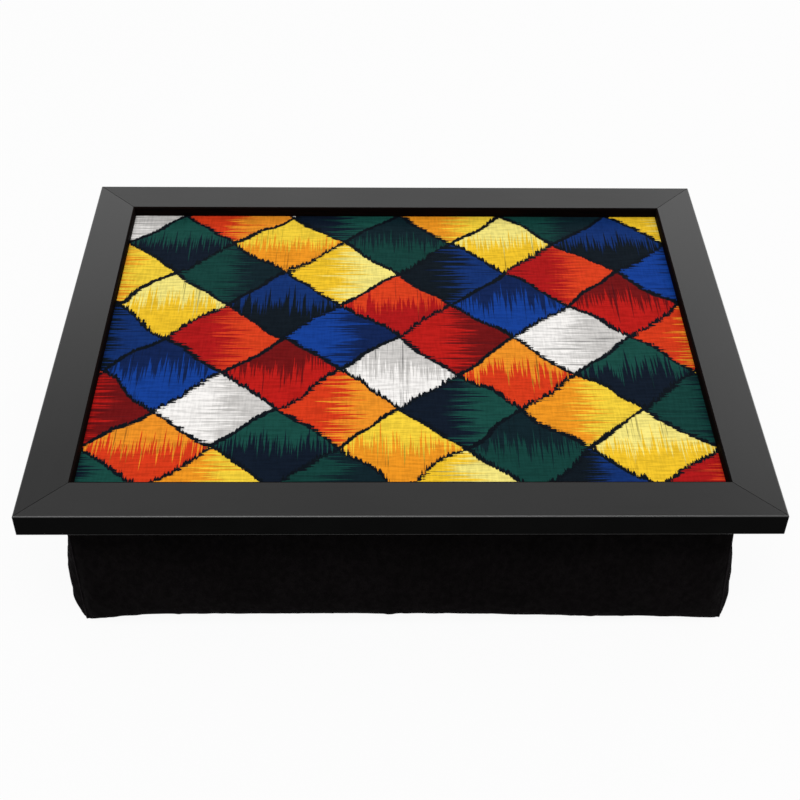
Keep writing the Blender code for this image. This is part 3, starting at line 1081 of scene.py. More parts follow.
@dataclass(frozen=True)
class MouldedNylon(Finish):
    """Black nylon monofilament and moulded nylon.

    Attributes:
        tones: Its two blacks.
    """

    tones: tuple[Colour, Colour] = ((0.010, 0.010, 0.011), (0.018, 0.018, 0.019))

    def lay(self, bench: NodeBench) -> None:
        """Semi-gloss, a little uneven from the mould.

        Args:
            bench: The material's bench.
        """
        flow = bench.noise(bench.place, scale=500)
        bench.bump(flow, distance=0.03 * MM, strength=0.5)
        bench.finish(bench.mixed(bench.spread(flow), *self.tones), bench.spread(flow, 0.3, 0.45))


@dataclass(frozen=True)
class Thread(Finish):
    """Black sewing thread, two plies twisted.

    Attributes:
        shade: Its colour.
        twist: From one ply to the next.
    """

    shade: Colour = (0.014, 0.013, 0.014)
    twist: float = 0.98175 * MM

    def lay(self, bench: NodeBench) -> None:
        """The twist of the plies.

        Args:
            bench: The material's bench.
        """
        ply = bench.bands("DIAGONAL", self.twist, wobble=0.2)
        bench.bump(ply, distance=0.08 * MM, strength=0.8)
        colour = bench.shaded(self.shade, bench.fade(ply, 0.1, 0.9, 0.6, 1.4))
        bench.finish(colour, 0.7, Specular_IOR_Level=0.25)


@dataclass(frozen=True)
class Calico(Finish):
    """Unbleached calico, the cloth of the bag that holds the beads.

    Attributes:
        thread: From one thread to the next.
        tones: The colours of the cloth and of its slubs.
        beads: Beads to a metre.
    """

    thread: float = 0.5 * MM
    tones: tuple[Colour, Colour] = (linear(226, 218, 200), linear(206, 194, 170))
    beads: float = 280

    def lay(self, bench: NodeBench) -> None:
        """A plain weave with slubs, over the bumps of the beads.

        Args:
            bench: The material's bench.
        """
        weave = bench.calc("MULTIPLY", *(bench.bands(axis, self.thread, wobble=0.5) for axis in "XZ"))
        slub = bench.noise(bench.stretched((60, 60, 500)), detail=3)
        bench.bump(bench.plus(bench.cells(self.beads), weave, share=0.15), distance=0.8 * MM, strength=0.5)
        colour = bench.mixed(bench.fade(slub, 0.4, 0.7), *self.tones)
        bench.finish(bench.shaded(colour, bench.fade(weave, 0.0, 1.0, 0.86, 1.0)), 0.9)


def by_grain(kind: type[Finish], name: str) -> dict[Grain, Finish]:
    """A finish of the moulding in each of its grains.

    Args:
        kind: The finish.
        name: The start of the materials' names.

    Returns:
        The finishes, under their grains.
    """
    return {grain: kind(f"{name}_{grain.name.lower()}", "black_foil", grain) for grain in Grain}


@dataclass(frozen=True)
class Finishes:
    """Every finish of the tray."""

    foil: dict[Grain, Finish] = field(default_factory=lambda: by_grain(SatinFoil, "satin_foil"))
    timber: dict[Grain, Finish] = field(default_factory=lambda: by_grain(StainedTimber, "stained_timber"))
    # The outer edges' film: its lighter shade is a painted highlight line along them; its lower roughness and
    # higher index are its gloss.
    rubbed: Finish = SatinFoil(
        "rubbed_foil", "black_foil", shade=0.014, gloss=(0.22, 0.3), brushing=0, lustre=1.5
    )
    paint: Finish = MattPaint("matt_side_paint", "black_foil")
    printed: Finish = LozengePrint("lozenge_print", "printed_melamine")
    fibreboard: Finish = Fibreboard("felted_fibreboard", "fibreboard")
    hardboard: Finish = ScreenedHardboard("screened_hardboard", "black_hardboard")
    steel: Finish = ZincSteel("zinc_plated_steel", "zinc_steel")
    die_cast: Finish = ZincSteel(
        "die_cast_zinc", "zinc_steel", bright=(0.30, 0.305, 0.31), dull=(0.17, 0.168, 0.165)
    )
    velour: Finish = Velour("stroked_velour", "black_velour")
    # The seams' rolls in a velour over three times lighter than the cover: a painted highlight along the
    # seams.
    seam_velour: Finish = Velour("pressed_velour", "black_velour", shade=(0.0145, 0.0125, 0.0135))
    tape: Finish = WovenTape("woven_touch_tape", "black_tape")
    zip_tape: Finish = WovenTape("woven_zip_tape", "black_nylon", pitch=0.5 * MM)
    nylon: Finish = MouldedNylon("moulded_nylon", "black_nylon")
    thread: Finish = Thread("sewing_thread", "black_velour")
    calico: Finish = Calico("unbleached_calico", "white_calico")


def hand_over(piece: Piece, finish: Finish, body: str, *nodes: str) -> None:
    """Gives a finished piece its look, its body and the nodes that it stands for.

    Args:
        piece: The piece.
        finish: Its finish.
        body: The body that it rides on.
        *nodes: The CAD nodes that it hides, if there are any.
    """
    finish.dress(piece)
    if nodes:
        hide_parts(*nodes)
    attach(piece, body)
    report(piece)


# The frame


@dataclass
class Moulding:
    """One rail of the frame, mitred at both ends.

    Attributes:
        side: Where it goes.
        length: Its length outside, from mitre to mitre.
        reach: How far its outer face is from the middle of the tray.
        low: Height of its underside.
        high: Height of its face.
        face_width: Width of its face.
        lip_thickness: Thickness of the lip over the print.
        rebate_width: How far the lip reaches over the boards.
        arris: Radius of the outer edge of its face.
        foot_arris: Radius of the outer edge of its underside.
        sight_arris: Radius of the lip's edge, which is stained and has no film.
        arris_steps: How many faces go round an edge.
        mitre_gap: The hair's gap of a glued mitre.
        slot_gap: Clearance round a nail or a point.
        slot_mouth: How far a nail's slot is cut on past the nail's foot.
    """

    side: Side
    length: float
    reach: float
    low: float
    high: float
    face_width: float
    lip_thickness: float = 7 * MM
    rebate_width: float = 8 * MM
    arris: float = 0.7 * MM
    foot_arris: float = 0.35 * MM
    sight_arris: float = 1.4 * MM
    arris_steps: int = 4
    mitre_gap: float = 0.3 * MM
    slot_gap: float = 0.25 * MM
    slot_mouth: float = 1 * MM

    def build(self, finishes: Finishes) -> Piece:
        """Shapes the rail at the front, finishes its faces, and turns it to its side.

        Args:
            finishes: The tray's finishes.

        Returns:
            The rail.
        """
        outer, inner = -self.reach, -self.reach + self.face_width
        lip_low = self.high - self.lip_thickness
        rebate = inner - self.rebate_width
        half = self.length / 2
        rail = block(f"moulding_{self.side.word}", (-half, outer, lip_low), (half, inner, self.high))
        edges = (
            (outer, self.high, self.arris),
            (outer, self.low, self.foot_arris),
            (inner, self.high, self.sight_arris),
        )

        def is_foot(face: bmesh.types.BMFace) -> bool:
            """Whether a face is the underside of the outer part."""
            return face.normal.z < -ALONG and face.calc_center_median().y < rebate

        def is_edge(edge: bmesh.types.BMEdge) -> bool:
            """Whether an edge is the one at y and z."""
            return runs_along(edge, 0) and (middle_of(edge) - Vector((0, y, z))).yz.length < NEAR

        with edit_mode(rail):
            saw((0, rebate, 0), (0, 1, 0))
            pick(rail, ItemKind.FACE, is_foot)
            extrude((0, 0, self.low - lip_low))
            for y, z, radius in edges:
                pick(rail, ItemKind.EDGE, is_edge)
                round_edges(radius, self.arris_steps)
            for end in (-1, 1):
                saw((end * (half - self.mitre_gap / math.sqrt(2)), outer, 0), (end, 1, 0), is_cut_off=True)
        self.paint_faces(rail, finishes)
        rail.rotation_euler.z = self.side.value * QUARTER_TURN
        set_in_place(rail)
        self.cut_slots(rail)
        return rail

    def paint_faces(self, rail: Piece, finishes: Finishes) -> None:
        """Gives each face the film, the side's paint, the bare stain, or the edge film with its painted
        highlight.

        Args:
            rail: The rail, still at the front.
            finishes: The tray's finishes.
        """
        flat, tilted, mitred = 0.99, 0.05, 0.5
        grain = Grain.ALONG_X if self.side.runs_along_x else Grain.ALONG_Y
        for finish in (finishes.foil[grain], finishes.paint, finishes.timber[grain], finishes.rubbed):
            rail.data.materials.append(finish.material())
        for face in rail.data.polygons:
            x, y, z = face.normal
            # Faces that lean to the front take the edge film, whose lighter colour is a painted highlight.
            kind = RailFace.RUBBED if y < -tilted else RailFace.FILM
            if abs(x) > mitred or z < -flat or y > tilted:
                kind = RailFace.STAIN
            if y < -flat:
                kind = RailFace.PAINT
            face.material_index = kind.value

    def cut_slots(self, rail: Piece) -> None:
        """Cuts the slots that the mitre's nails and the boards' points are driven into.

        Args:
            rail: The rail, turned to its side.
        """
        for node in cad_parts:
            is_nail = node.startswith("v_nail") and self.side.word in node
            if is_nail or node.startswith(f"framers_point_{self.side.word}"):
                cutter = copy_of_node("slot_cutter", node)
                for material in rail.data.materials:
                    cutter.data.materials.append(material)
                for face in cutter.data.polygons:
                    face.material_index = RailFace.STAIN.value
                with edit_mode(cutter):
                    pick_all()
                    bpy.ops.mesh.normals_make_consistent(inside=False)
                    bpy.ops.transform.shrink_fatten(value=self.slot_gap, use_even_offset=True)
                    if is_nail:
                        pick(cutter, ItemKind.FACE, lambda face: face.normal.z < -ALONG)
                        shift((0, 0, -self.slot_mouth))
                carve(rail, cutter)

    def dress(self, rail: Piece, finishes: Finishes) -> None:
        """Gives the rail its place in the table.

        Args:
            rail: The rail, whose faces have their finishes.
            finishes: The tray's finishes; not used.
        """
        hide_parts(f"{self.side.word}_rail")
        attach(rail, TRAY)
        report(rail)


@dataclass
class TrayFrame:
    """The four rails, and what the frame holds."""

    finishes: Finishes

    def build(self) -> None:
        """Makes and dresses the rails, and dresses the CAD pieces that they hold."""
        low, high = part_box("front_rail")
        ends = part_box("right_rail")
        width, depth = high.x - low.x, ends[1].y - ends[0].y
        for side in Side:
            length, across = (width, depth) if side.runs_along_x else (depth, width)
            rail = Moulding(side, length, across / 2, low.z, high.z, high.y - low.y)
            rail.dress(rail.build(self.finishes), self.finishes)
        self.dress_held_pieces()

    def dress_held_pieces(self) -> None:
        """Finishes the nails, points, boards and print."""
        finishes = {
            "v_nail": self.finishes.steel,
            "framers_point": self.finishes.steel,
            "print_laminate": self.finishes.printed,
            "panel_board": self.finishes.fibreboard,
            "base_board": self.finishes.hardboard,
        }
        for node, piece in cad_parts.items():
            for start, finish in finishes.items():
                if node.startswith(start):
                    finish.dress(piece)
                    report(piece)


# Sewing


@dataclass(frozen=True)
class Lockstitch:
    """Rows of straight stitches laid on a cloth.

    Attributes:
        finish: The thread's finish.
        pitch: Distance between two stitches.
        shown: Share of the pitch that a stitch shows.
        thickness: Thickness of the thread.
    """

    finish: Finish
    pitch: float = 3.0 * MM
    shown: float = 0.72
    thickness: float = 0.45 * MM

    def one(self) -> Piece:
        """A single stitch at the origin, along X, with Y as its height.

        Returns:
            The stitch.
        """
        bpy.ops.object.select_all(action="DESELECT")
        size = (self.pitch * self.shown / 2, self.thickness / 2, self.thickness / 2)
        bpy.ops.mesh.primitive_uv_sphere_add(segments=6, ring_count=5, radius=1, scale=size)
        stitch = bpy.context.object
        set_in_place(stitch)
        return stitch

    def sew(self, name: str, cloth: Piece, rows: Sequence[tuple[Vector, Vector]], look: Vector) -> None:
        """Lays the stitches of several rows where they meet the cloth.

        Args:
            name: The name of the sewn piece.
            cloth: The cloth.
            rows: The first and the last point of each row, off the cloth.
            look: The direction from the rows to the cloth.
        """
        surface = BVHTree.FromObject(cloth, bpy.context.evaluated_depsgraph_get())
        pattern = self.one()
        work = bmesh.new()
        for first, last in rows:
            count = int((last - first).length / self.pitch)
            for number in range(count):
                hit, normal, _, _ = surface.ray_cast(first.lerp(last, (number + 0.5) / count), look)
                if hit is None:
                    continue
                along = (last - first).cross(normal).cross(-normal).normalized()
                turned = Matrix((along, normal, along.cross(normal))).transposed().to_4x4()
                laid = pattern.data.copy()
                laid.transform(Matrix.Translation(hit) @ turned)
                work.from_mesh(laid)
                bpy.data.meshes.remove(laid)
        bpy.data.objects.remove(pattern, do_unlink=True)
        mesh = bpy.data.meshes.new(name)
        work.to_mesh(mesh)
        work.free()
        sewn = in_scene(name, mesh)
        smooth(sewn)
        hand_over(sewn, self.finish, CUSHION)


# Touch-and-close tapes


@dataclass
class TouchTape:
    """A strip of touch-and-close tape: a woven ground with rows of hooks or loops.

    Attributes:
        face: Hooks or loops.
        side: The side of the tray that it is at.
        ground_share: Share of its thickness that is woven ground.
        crown_share: How far the ground stands above its selvedge, as a share of the ground's thickness.
        arris_share: Radius of the ground's edges, as a share of its thickness.
        pitch: Distance between two rows.
        wire: Thickness of a hook's or a loop's yarn.
        selvedge: Width of the edge that has neither.
        hook_share: How much of a half ring a hook is; a loop is all of it.
        ring_reach: Half the width of a hook or loop, as a share of the pitch.
        ring_steps: Straight lengths to a hook or loop.
        stitch_pitch: Distance between the stitches that hold it.
        stitch_thread: Thickness of their thread.
    """

    face: TapeFace
    side: Side
    ground_share: float = 0.42
    crown_share: float = 0.25
    arris_share: float = 0.2
    pitch: float = 2.1 * MM
    wire: float = 0.26 * MM
    selvedge: float = 1.4 * MM
    hook_share: float = 0.72
    ring_reach: float = 0.3
    ring_steps: int = 4
    stitch_pitch: float = 2.5 * MM
    stitch_thread: float = 0.3 * MM

    @property
    def node(self) -> str:
        """The CAD node that the strip stands for."""
        return f"{self.face.value}_tape_{self.side.word}"

    def build(self) -> Piece:
        """Makes the ground and the pile, joined as the woven strip that they are.

        Returns:
            The strip.
        """
        low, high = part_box(self.node)
        thickness = (high.z - low.z) * self.ground_share
        up = 1 if self.face is TapeFace.LOOP else -1
        root = low.z if up > 0 else high.z
        ground_end = root + up * thickness
        bottom, top = sorted((root, ground_end))
        name = f"{self.face.value}_strip_{self.side.word}"
        strip = block(name, (low.x, low.y, bottom), (high.x, high.y, top))
        with edit_mode(strip):
            pick(strip, ItemKind.FACE, lambda face: face.normal.z * up > ALONG)
            bpy.ops.mesh.inset(thickness=self.selvedge)
            shift((0, 0, up * thickness * self.crown_share))
            pick(strip, ItemKind.EDGE, lambda edge: not runs_along(edge, 2))
            round_edges(thickness * self.arris_share, segments=1)
        join(strip, self.pile(low, high, ground_end, up))
        return strip

    def pile(self, low: Vector, high: Vector, root: float, up: int) -> Piece:
        """One hook or loop, repeated over the ground between the selvedges.

        Args:
            low: The strip's lowest corner.
            high: Its highest corner.
            root: Height of the ground's face.
            up: 1 where the pile stands up, -1 where it hangs.

        Returns:
            The pile.
        """
        tall = abs((high.z if up > 0 else low.z) - root) - self.wire
        inset = self.selvedge + self.pitch / 2
        start = Vector((low.x + inset, low.y + inset, root))
        share = 1.0 if self.face is TapeFace.LOOP else self.hook_share
        turns = [math.pi * share * step / self.ring_steps for step in range(self.ring_steps + 1)]
        reach = self.pitch * self.ring_reach
        points = [start + Vector((reach * math.cos(turn), 0, up * tall * math.sin(turn))) for turn in turns]
        item = drawn_wire("pile_item", points, self.wire, sides=0)
        for axis in (0, 1):
            room = (high - low)[axis] - 2 * self.selvedge
            offset = [0, 0, 0]
            offset[axis] = self.pitch
            apply_modifier(
                item,
                "ARRAY",
                use_relative_offset=False,
                use_constant_offset=True,
                constant_offset_displace=offset,
                count=int(room / self.pitch),
            )
        return item

    def dress(self, strip: Piece, finishes: Finishes) -> None:
        """Gives the strip its finish and its place in the table, and sews a loop tape to the cloth.

        Args:
            strip: The strip.
            finishes: The tray's finishes.
        """
        is_loop = self.face is TapeFace.LOOP
        hand_over(strip, finishes.tape, CUSHION if is_loop else TRAY, self.node)
        if is_loop:
            self.sew_down(strip, finishes)

    def sew_down(self, strip: Piece, finishes: Finishes) -> None:
        """Sews the strip to the cloth all round its selvedge.

        Args:
            strip: The strip.
            finishes: The tray's finishes.
        """
        low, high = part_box(self.node)
        inset = self.selvedge / 2
        left, right, near, far = low.x + inset, high.x - inset, low.y + inset, high.y - inset
        above = high.z * 2
        corners = [Vector((x, y, above)) for x, y in ((left, near), (right, near), (right, far), (left, far))]
        rows = list(zip(corners, corners[1:] + corners[:1]))
        stitch = Lockstitch(finishes.thread, pitch=self.stitch_pitch, thickness=self.stitch_thread)
        stitch.sew(f"tape_stitches_{self.side.word}", strip, rows, Vector((0, 0, -1)))


# The cushion


def share_left(distance: float, reach: float) -> float:
    """1 at no distance, falling evenly to 0 at reach."""
    return 1 - min(max(distance / reach, 0), 1)


def quarter_round(distance: float, reach: float) -> float:
    """Climbs from 0 to 1 over reach, as a quarter of a circle does."""
    return math.sqrt(1 - share_left(distance, reach) ** 2)


@dataclass
class BeadCushion:
    """A cushion of beads in a velour cover, drawn in at its corner seams.

    Attributes:
        half_width: From its middle to a side seam.
        half_depth: From its middle to the front or back seam.
        height: Its height where the tray rests on it.
        front_bulge: How far the front swells.
        end_bulge: How far the left and right ends swell.
        back_bulge: How far the back swells.
        corner_reach: Over what distance the front and back swell out from a corner seam.
        end_reach: The same for the left end and the right end.
        rim_share: How far the ends' bottom seam swells out with them, as a share.
        seam_reach: Over what distance the bottom seam climbs from a corner.
        seam_lift: How high it climbs.
        front_lift: How high it climbs at the front, at the left and at the right.
        lift_change: Over what share of the right half the front's lift changes.
        lift_reach: How far in from the bottom seam the cloth leaves the ground.
        belly_share: Where the front's belly is, as a share of the height.
        end_belly_share: Where the ends' belly is.
        start_share: Share of the swelling that the cloth has before it is filled.
        slack: How high the middle of the bottom hangs while there is no swelling.
        frames: Steps of the filling.
        spare: How far past its measured shape the cloth may move.
        settling: How far the filled cloth then settles back to its measured shape, as a share.
        cells: Cells of the cloth along X, Y and Z.
        seam_crease: How sharp the seams stay.
        slot_crease: How sharp the edge of the zip's opening stays.
        bead_relief: Depth of the dimples of the beads.
        bead_size: Size of a dimple.
        finer: How deep and how many times smaller a second set of dimples is.
        bead_free: How high above the ground the dimples have their full depth.
        seam_roll: Thickness of the roll of cloth along a seam.
        seam_proud: How far a corner seam's roll stands out of the cloth, as a share of its thickness.
        lean: How far the front left and front right corners lean out at the bottom.
        slot_past: How far the zip's opening goes on past the zip's end stops.
        slot_depth: How deep the zip lies.
        tightness: How tightly the beads fill the cover, from 0 to 1.
        liner_tightness: The same of the bag.
    """

    finishes: Finishes
    half_width: float
    half_depth: float
    height: float
    front_bulge: float = 10 * MM
    end_bulge: float = 12.2 * MM
    back_bulge: float = 7 * MM
    corner_reach: float = 20 * MM
    end_reach: tuple[float, float] = (30 * MM, 55 * MM)
    rim_share: float = 0.75
    seam_reach: float = 45 * MM
    seam_lift: float = 8.5 * MM
    front_lift: tuple[float, float] = (5.5 * MM, 2.4 * MM)
    lift_change: float = 0.65
    lift_reach: float = 40 * MM
    belly_share: float = 0.26
    end_belly_share: float = 0.10
    start_share: float = 0.88
    slack: float = 3 * MM
    frames: int = 20
    spare: float = 0.8 * MM
    settling: float = 0.65
    cells: tuple[int, int, int] = (80, 60, 20)
    seam_crease: float = 0.9
    slot_crease: float = 0.8
    bead_relief: float = 0.45 * MM
    bead_size: float = 7 * MM
    finer: tuple[float, float] = (0.6, 2.3)
    bead_free: float = 4 * MM
    seam_roll: float = 1.3 * MM
    seam_proud: float = 0.25
    lean: tuple[float, float] = (-0.5 * MM, 5.7 * MM)
    slot_past: float = 1.3 * MM
    slot_depth: float = 4.6 * MM
    tightness: float = 0.85
    liner_tightness: float = 0.7

    # The cloth and its filling; shrinking by less than nothing, it is cut larger than its seams.
    CLOTH: ClassVar[dict[str, object]] = {
        "quality": 6,
        "mass": 0.25,
        "tension_stiffness": 14,
        "compression_stiffness": 14,
        "shear_stiffness": 6,
        "bending_stiffness": 1.5,
        "air_damping": 2,
        "use_pressure": True,
        "uniform_pressure_force": 4.0,
        "shrink_min": -0.02,
        "vertex_group_mass": "held",
    }

    @staticmethod
    def bellied(up: float, belly: float) -> float:
        """How a bulge grows and fades up a side.

        Args:
            up: How far up the side, from 0 to 1.
            belly: Where the bulge is fullest.

        Returns:
            Share of the bulge, 0 at both seams.
        """
        if up < belly:
            return quarter_round(up, belly)
        above_belly = (up - belly) / (1 - belly)
        return (1 - above_belly**2) ** 2

    def swell(self, side: Side, up: float, to_corner: float) -> float:
        """How far a side stands out from its seams.

        Args:
            side: The side.
            up: How far up it, from 0 to 1.
            to_corner: Distance from its nearest corner seam.

        Returns:
            The distance; the back is kept flatter by its zip.
        """
        if side is Side.BACK:
            bulge, reach, share = self.back_bulge, self.corner_reach, 1 - abs(2 * up - 1) ** 4
        elif side is Side.FRONT:
            bulge, reach, share = self.front_bulge, self.corner_reach, self.bellied(up, self.belly_share)
        else:
            bulge, reach = self.end_bulge, self.end_reach[side is Side.RIGHT]
            share = self.bellied(up, self.end_belly_share)
            if up < self.end_belly_share:
                share = self.rim_share + (1 - self.rim_share) * share
        return bulge * share * quarter_round(to_corner, reach)

    def seam_height(self, distance: float, lift: float) -> float:
        """Height of the bottom seam, at a distance along it from a corner."""
        return lift * (1 - share_left(distance, self.seam_reach) ** 1.5)

    def lift_at(self, x: float, is_front: bool) -> float:
        """How high the bottom seam climbs.

        Args:
            x: The place across the cushion.
            is_front: Whether it is the front's seam.

        Returns:
            The climb.
        """
        if not is_front:
            return self.seam_lift
        left, right = self.front_lift
        return left + (right - left) * min(max(x / (self.lift_change * self.half_width), 0), 1) ** 1.5

    def place(self, shares: Vector, fullness: float) -> Vector:
        """A point of the cover.

        Args:
            shares: The point on a cube from -1 to 1.
            fullness: How much of its swelling the cushion has, from 0 to 1.

        Returns:
            The point in the row frame.
        """
        x, y = shares.x * self.half_width, shares.y * self.half_depth
        to_x_seam, to_y_seam = self.half_width - abs(x), self.half_depth - abs(y)
        up = (shares.z + 1) / 2
        end = Side.RIGHT if shares.x > 0 else Side.LEFT
        x += self.lean[x > 0] * (1 - up) * shares.x * abs(shares.x) * (1 - shares.y) / 2
        if shares.z > ON_EDGE:
            return Vector((x, y, self.height))
        if shares.z < -ON_EDGE:
            from_x = self.seam_height(to_y_seam, self.seam_lift) * share_left(to_x_seam, self.lift_reach) ** 2
            lift = self.lift_at(x, shares.y < 0)
            from_y = self.seam_height(to_x_seam, lift) * share_left(to_y_seam, self.lift_reach) ** 2
            slack = self.slack * (1 - fullness) * (1 - shares.x**4) * (1 - shares.y**4)
            x += self.swell(end, 0, to_y_seam) * fullness * shares.x**3
            return Vector((x, y, from_x + from_y + slack))
        faces_y = abs(shares.y) > ON_EDGE
        side = (Side.BACK if shares.y > 0 else Side.FRONT) if faces_y else end
        to_corner = to_x_seam if faces_y else to_y_seam
        low = self.seam_height(to_corner, self.lift_at(x, side is Side.FRONT))
        place = Vector((x, y, low + up * (self.height - low)))
        out = self.swell(side, up, to_corner) * fullness
        place[1 if faces_y else 0] += out if side in (Side.BACK, Side.RIGHT) else -out
        return place

    def bag(self) -> tuple[Piece, list[Vector]]:
        """Cuts and seams the cover, before it is filled.

        Returns:
            The cover as a cube, and each vertex's place on it.
        """
        cover = block("velour_cover", (-1, -1, -1), (1, 1, 1))
        with edit_mode(cover):
            for axis, count in enumerate(self.cells):
                pick(cover, ItemKind.EDGE, lambda edge: runs_along(edge, axis))
                bpy.ops.mesh.subdivide(number_cuts=count - 1)
            pick(cover, ItemKind.EDGE, lambda edge: edge.calc_face_angle(0) > QUARTER_TURN / 2)
            bpy.ops.mesh.mark_seam()
        return cover, [vert.co.copy() for vert in cover.data.vertices]

    def fill(self, cover: Piece, shares: list[Vector]) -> None:
        """Fills the bag by simulation: the seams stay, and no point passes the measured shape by much.

        Args:
            cover: The bag.
            shares: Each vertex's place on the cube.
        """
        full = np.array([self.place(share, 1.0) for share in shares])
        start = np.array([self.place(share, self.start_share) for share in shares])
        set_coordinates(cover, start)
        held = [
            number
            for number, share in enumerate(shares)
            if share.z > ON_EDGE or sum(abs(value) > ON_EDGE for value in share) >= 2
        ]
        cover.vertex_groups.new(name="held").add(held, 1.0, "REPLACE")
        cloth = cover.modifiers.new("filling", "CLOTH")
        for key, value in self.CLOTH.items():
            setattr(cloth.settings, key, value)
        cloth.settings.effector_weights.gravity = 0
        cloth.collision_settings.use_collision = False
        scene = bpy.context.scene
        for number in range(1, self.frames + 1):
            scene.frame_set(number)
        select_only(cover)
        bpy.ops.object.modifier_apply(modifier=cloth.name)
        scene.frame_set(1)
        moved = coordinates(cover) - start
        length = np.maximum(np.linalg.norm(moved, axis=1), WELD)
        cap = np.linalg.norm(full - start, axis=1) + self.spare
        places = start + moved * np.minimum(1, cap / length)[:, None]
        places += (full - places) * self.settling
        places[:, 2] = np.clip(places[:, 2], 0, self.height)
        set_coordinates(cover, places)

    def open_zip(self, cover: Piece) -> None:
        """Sinks the slot that the zip lies in into the back panel.

        Args:
            cover: The filled cover.
        """
        middle = (self.height + self.seam_lift) / 2
        row = (self.height - self.seam_lift) / self.cells[2]
        half = self.slot_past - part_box("zip_stop_left")[0].x
        outward = 0.7

        def in_slot(face: bmesh.types.BMFace) -> bool:
            """Whether a face is in the slot."""
            x, _, z = face.calc_center_median()
            return abs(x) < half and abs(z - middle) < row and face.normal.y > outward

        with edit_mode(cover):
            pick(cover, ItemKind.FACE, in_slot)
            extrude((0, -self.slot_depth, 0))
            bpy.ops.mesh.select_mode(type="EDGE")
            bpy.ops.mesh.region_to_loop()
            bpy.ops.transform.edge_crease(value=self.slot_crease)

    def press_in_beads(self, cover: Piece) -> None:
        """Lets the beads show through the cloth where nothing presses it flat.

        Args:
            cover: The filled cover.
        """
        depth, fineness = self.finer
        upward = 0.8
        places = coordinates(cover)
        for number, (place, normal) in enumerate(zip(places, coordinates(cover, "normal"))):
            free = min(max(place[2] / self.bead_free, 0), 1) if normal[2] < upward else 0
            spot = Vector(place) / self.bead_size
            dimple = noise.noise(spot) + depth * noise.noise(spot * fineness)
            places[number] += normal * (self.bead_relief * free * dimple)
        set_coordinates(cover, places)

    def build(self) -> Piece:
        """Makes the filled cover, the bag of beads in it, and its seams.

        Returns:
            The cover.
        """
        cover, shares = self.bag()
        self.fill(cover, shares)
        with edit_mode(cover):
            pick(cover, ItemKind.EDGE, lambda edge: edge.seam)
            bpy.ops.transform.edge_crease(value=self.seam_crease)
        self.make_liner(cover)
        seams = self.seam_lines(shares, coordinates(cover))
        self.open_zip(cover)
        apply_modifier(cover, "SUBSURF", levels=1, render_levels=1)
        self.press_in_beads(cover)
        surface = BVHTree.FromObject(cover, bpy.context.evaluated_depsgraph_get())
        smooth(cover)
        self.dress(cover)
        for name, line in seams.items():
            middle = sum(line, Vector()) / len(line)
            is_ring = name == "bottom_seam"
            proud = 0 if is_ring else self.seam_roll * self.seam_proud
            out = Vector((middle.x, middle.y, 0)).normalized() * proud
            self.sew_seam(name, [surface.find_nearest(point)[0] + out for point in line], is_ring)
        return cover

    def seam_lines(self, shares: list[Vector], places: np.ndarray) -> dict[str, list[Vector]]:
        """The lines of the four corner seams and the bottom seam, in order along each.

        Args:
            shares: Each vertex's place on the cube.
            places: Its place in the row frame.

        Returns:
            The points of each seam, under its name.
        """
        lines: dict[str, list[Vector]] = {}
        corners = [
            (f"corner_seam_{y_word}_{x_word}", x_way, y_way)
            for x_word, x_way in (("left", -1), ("right", 1))
            for y_word, y_way in (("front", -1), ("back", 1))
        ]
        numbers = range(len(shares))
        for name, x_way, y_way in corners:
            line = [n for n in numbers if shares[n].x * x_way > ON_EDGE and shares[n].y * y_way > ON_EDGE]
            line.sort(key=lambda n: shares[n].z)
            lines[name] = [Vector(places[n]) for n in line]
        rim = [n for n in numbers if shares[n].z < -ON_EDGE and max(map(abs, shares[n].xy)) > ON_EDGE]
        rim.sort(key=lambda n: self.way_round(shares[n]))
        lines["bottom_seam"] = [Vector(places[n]) for n in rim]
        return lines

    @staticmethod
    def way_round(share: Vector) -> float:
        """How far round the square rim a point is.

        Args:
            share: Its place on the cube.

        Returns:
            The way from the front left corner, from 0 to 8.
        """
        x, y = share.x, share.y
        if y < -ON_EDGE and x < ON_EDGE:
            return x + 1
        if x > ON_EDGE and y < ON_EDGE:
            return y + 3
        return 5 - x if y > ON_EDGE and x > -ON_EDGE else 7 - y

    def sew_seam(self, name: str, line: list[Vector], is_ring: bool) -> None:
        """Lays the thin roll of turned cloth that shows along a seam.

        Args:
            name: The name of the roll.
            line: The points of the seam.
            is_ring: Whether it comes back to where it starts.
        """
        roll = drawn_wire(name, line, self.seam_roll, is_ring=is_ring)
        places = coordinates(roll)
        places[:, 2] = np.maximum(places[:, 2], 0)
        set_coordinates(roll, places)
        apply_modifier(roll, "SUBSURF", levels=1, render_levels=1)
        # The roll's lighter velour is a painted highlight line along the seam.
        hand_over(roll, self.finishes.seam_velour, CUSHION)

    def dress(self, cover: Piece) -> None:
        """Gives the cover its finish and its place in the table.

        Args:
            cover: The cover.
        """
        panels = ("front", "right", "back", "left", "bottom", "top")
        hand_over(cover, self.finishes.velour, CUSHION, *(f"cover_{panel}" for panel in panels))

    def make_liner(self, cover: Piece) -> None:
        """Copies the filled cover, draws the copy in to the bag of beads, and finishes it.

        Args:
            cover: The filled cover.
        """
        mesh = cover.data.copy()
        mesh.name = "calico_bead_bag"
        liner = in_scene(mesh.name, mesh)
        low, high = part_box("bead_liner")
        places = coordinates(liner)
        shares = (places - places.min(0)) / (places.max(0) - places.min(0))
        set_coordinates(liner, shares * np.array(high - low) + np.array(low))
        smooth(liner)
        hand_over(liner, self.finishes.calico, CUSHION, "bead_liner")


# The zip


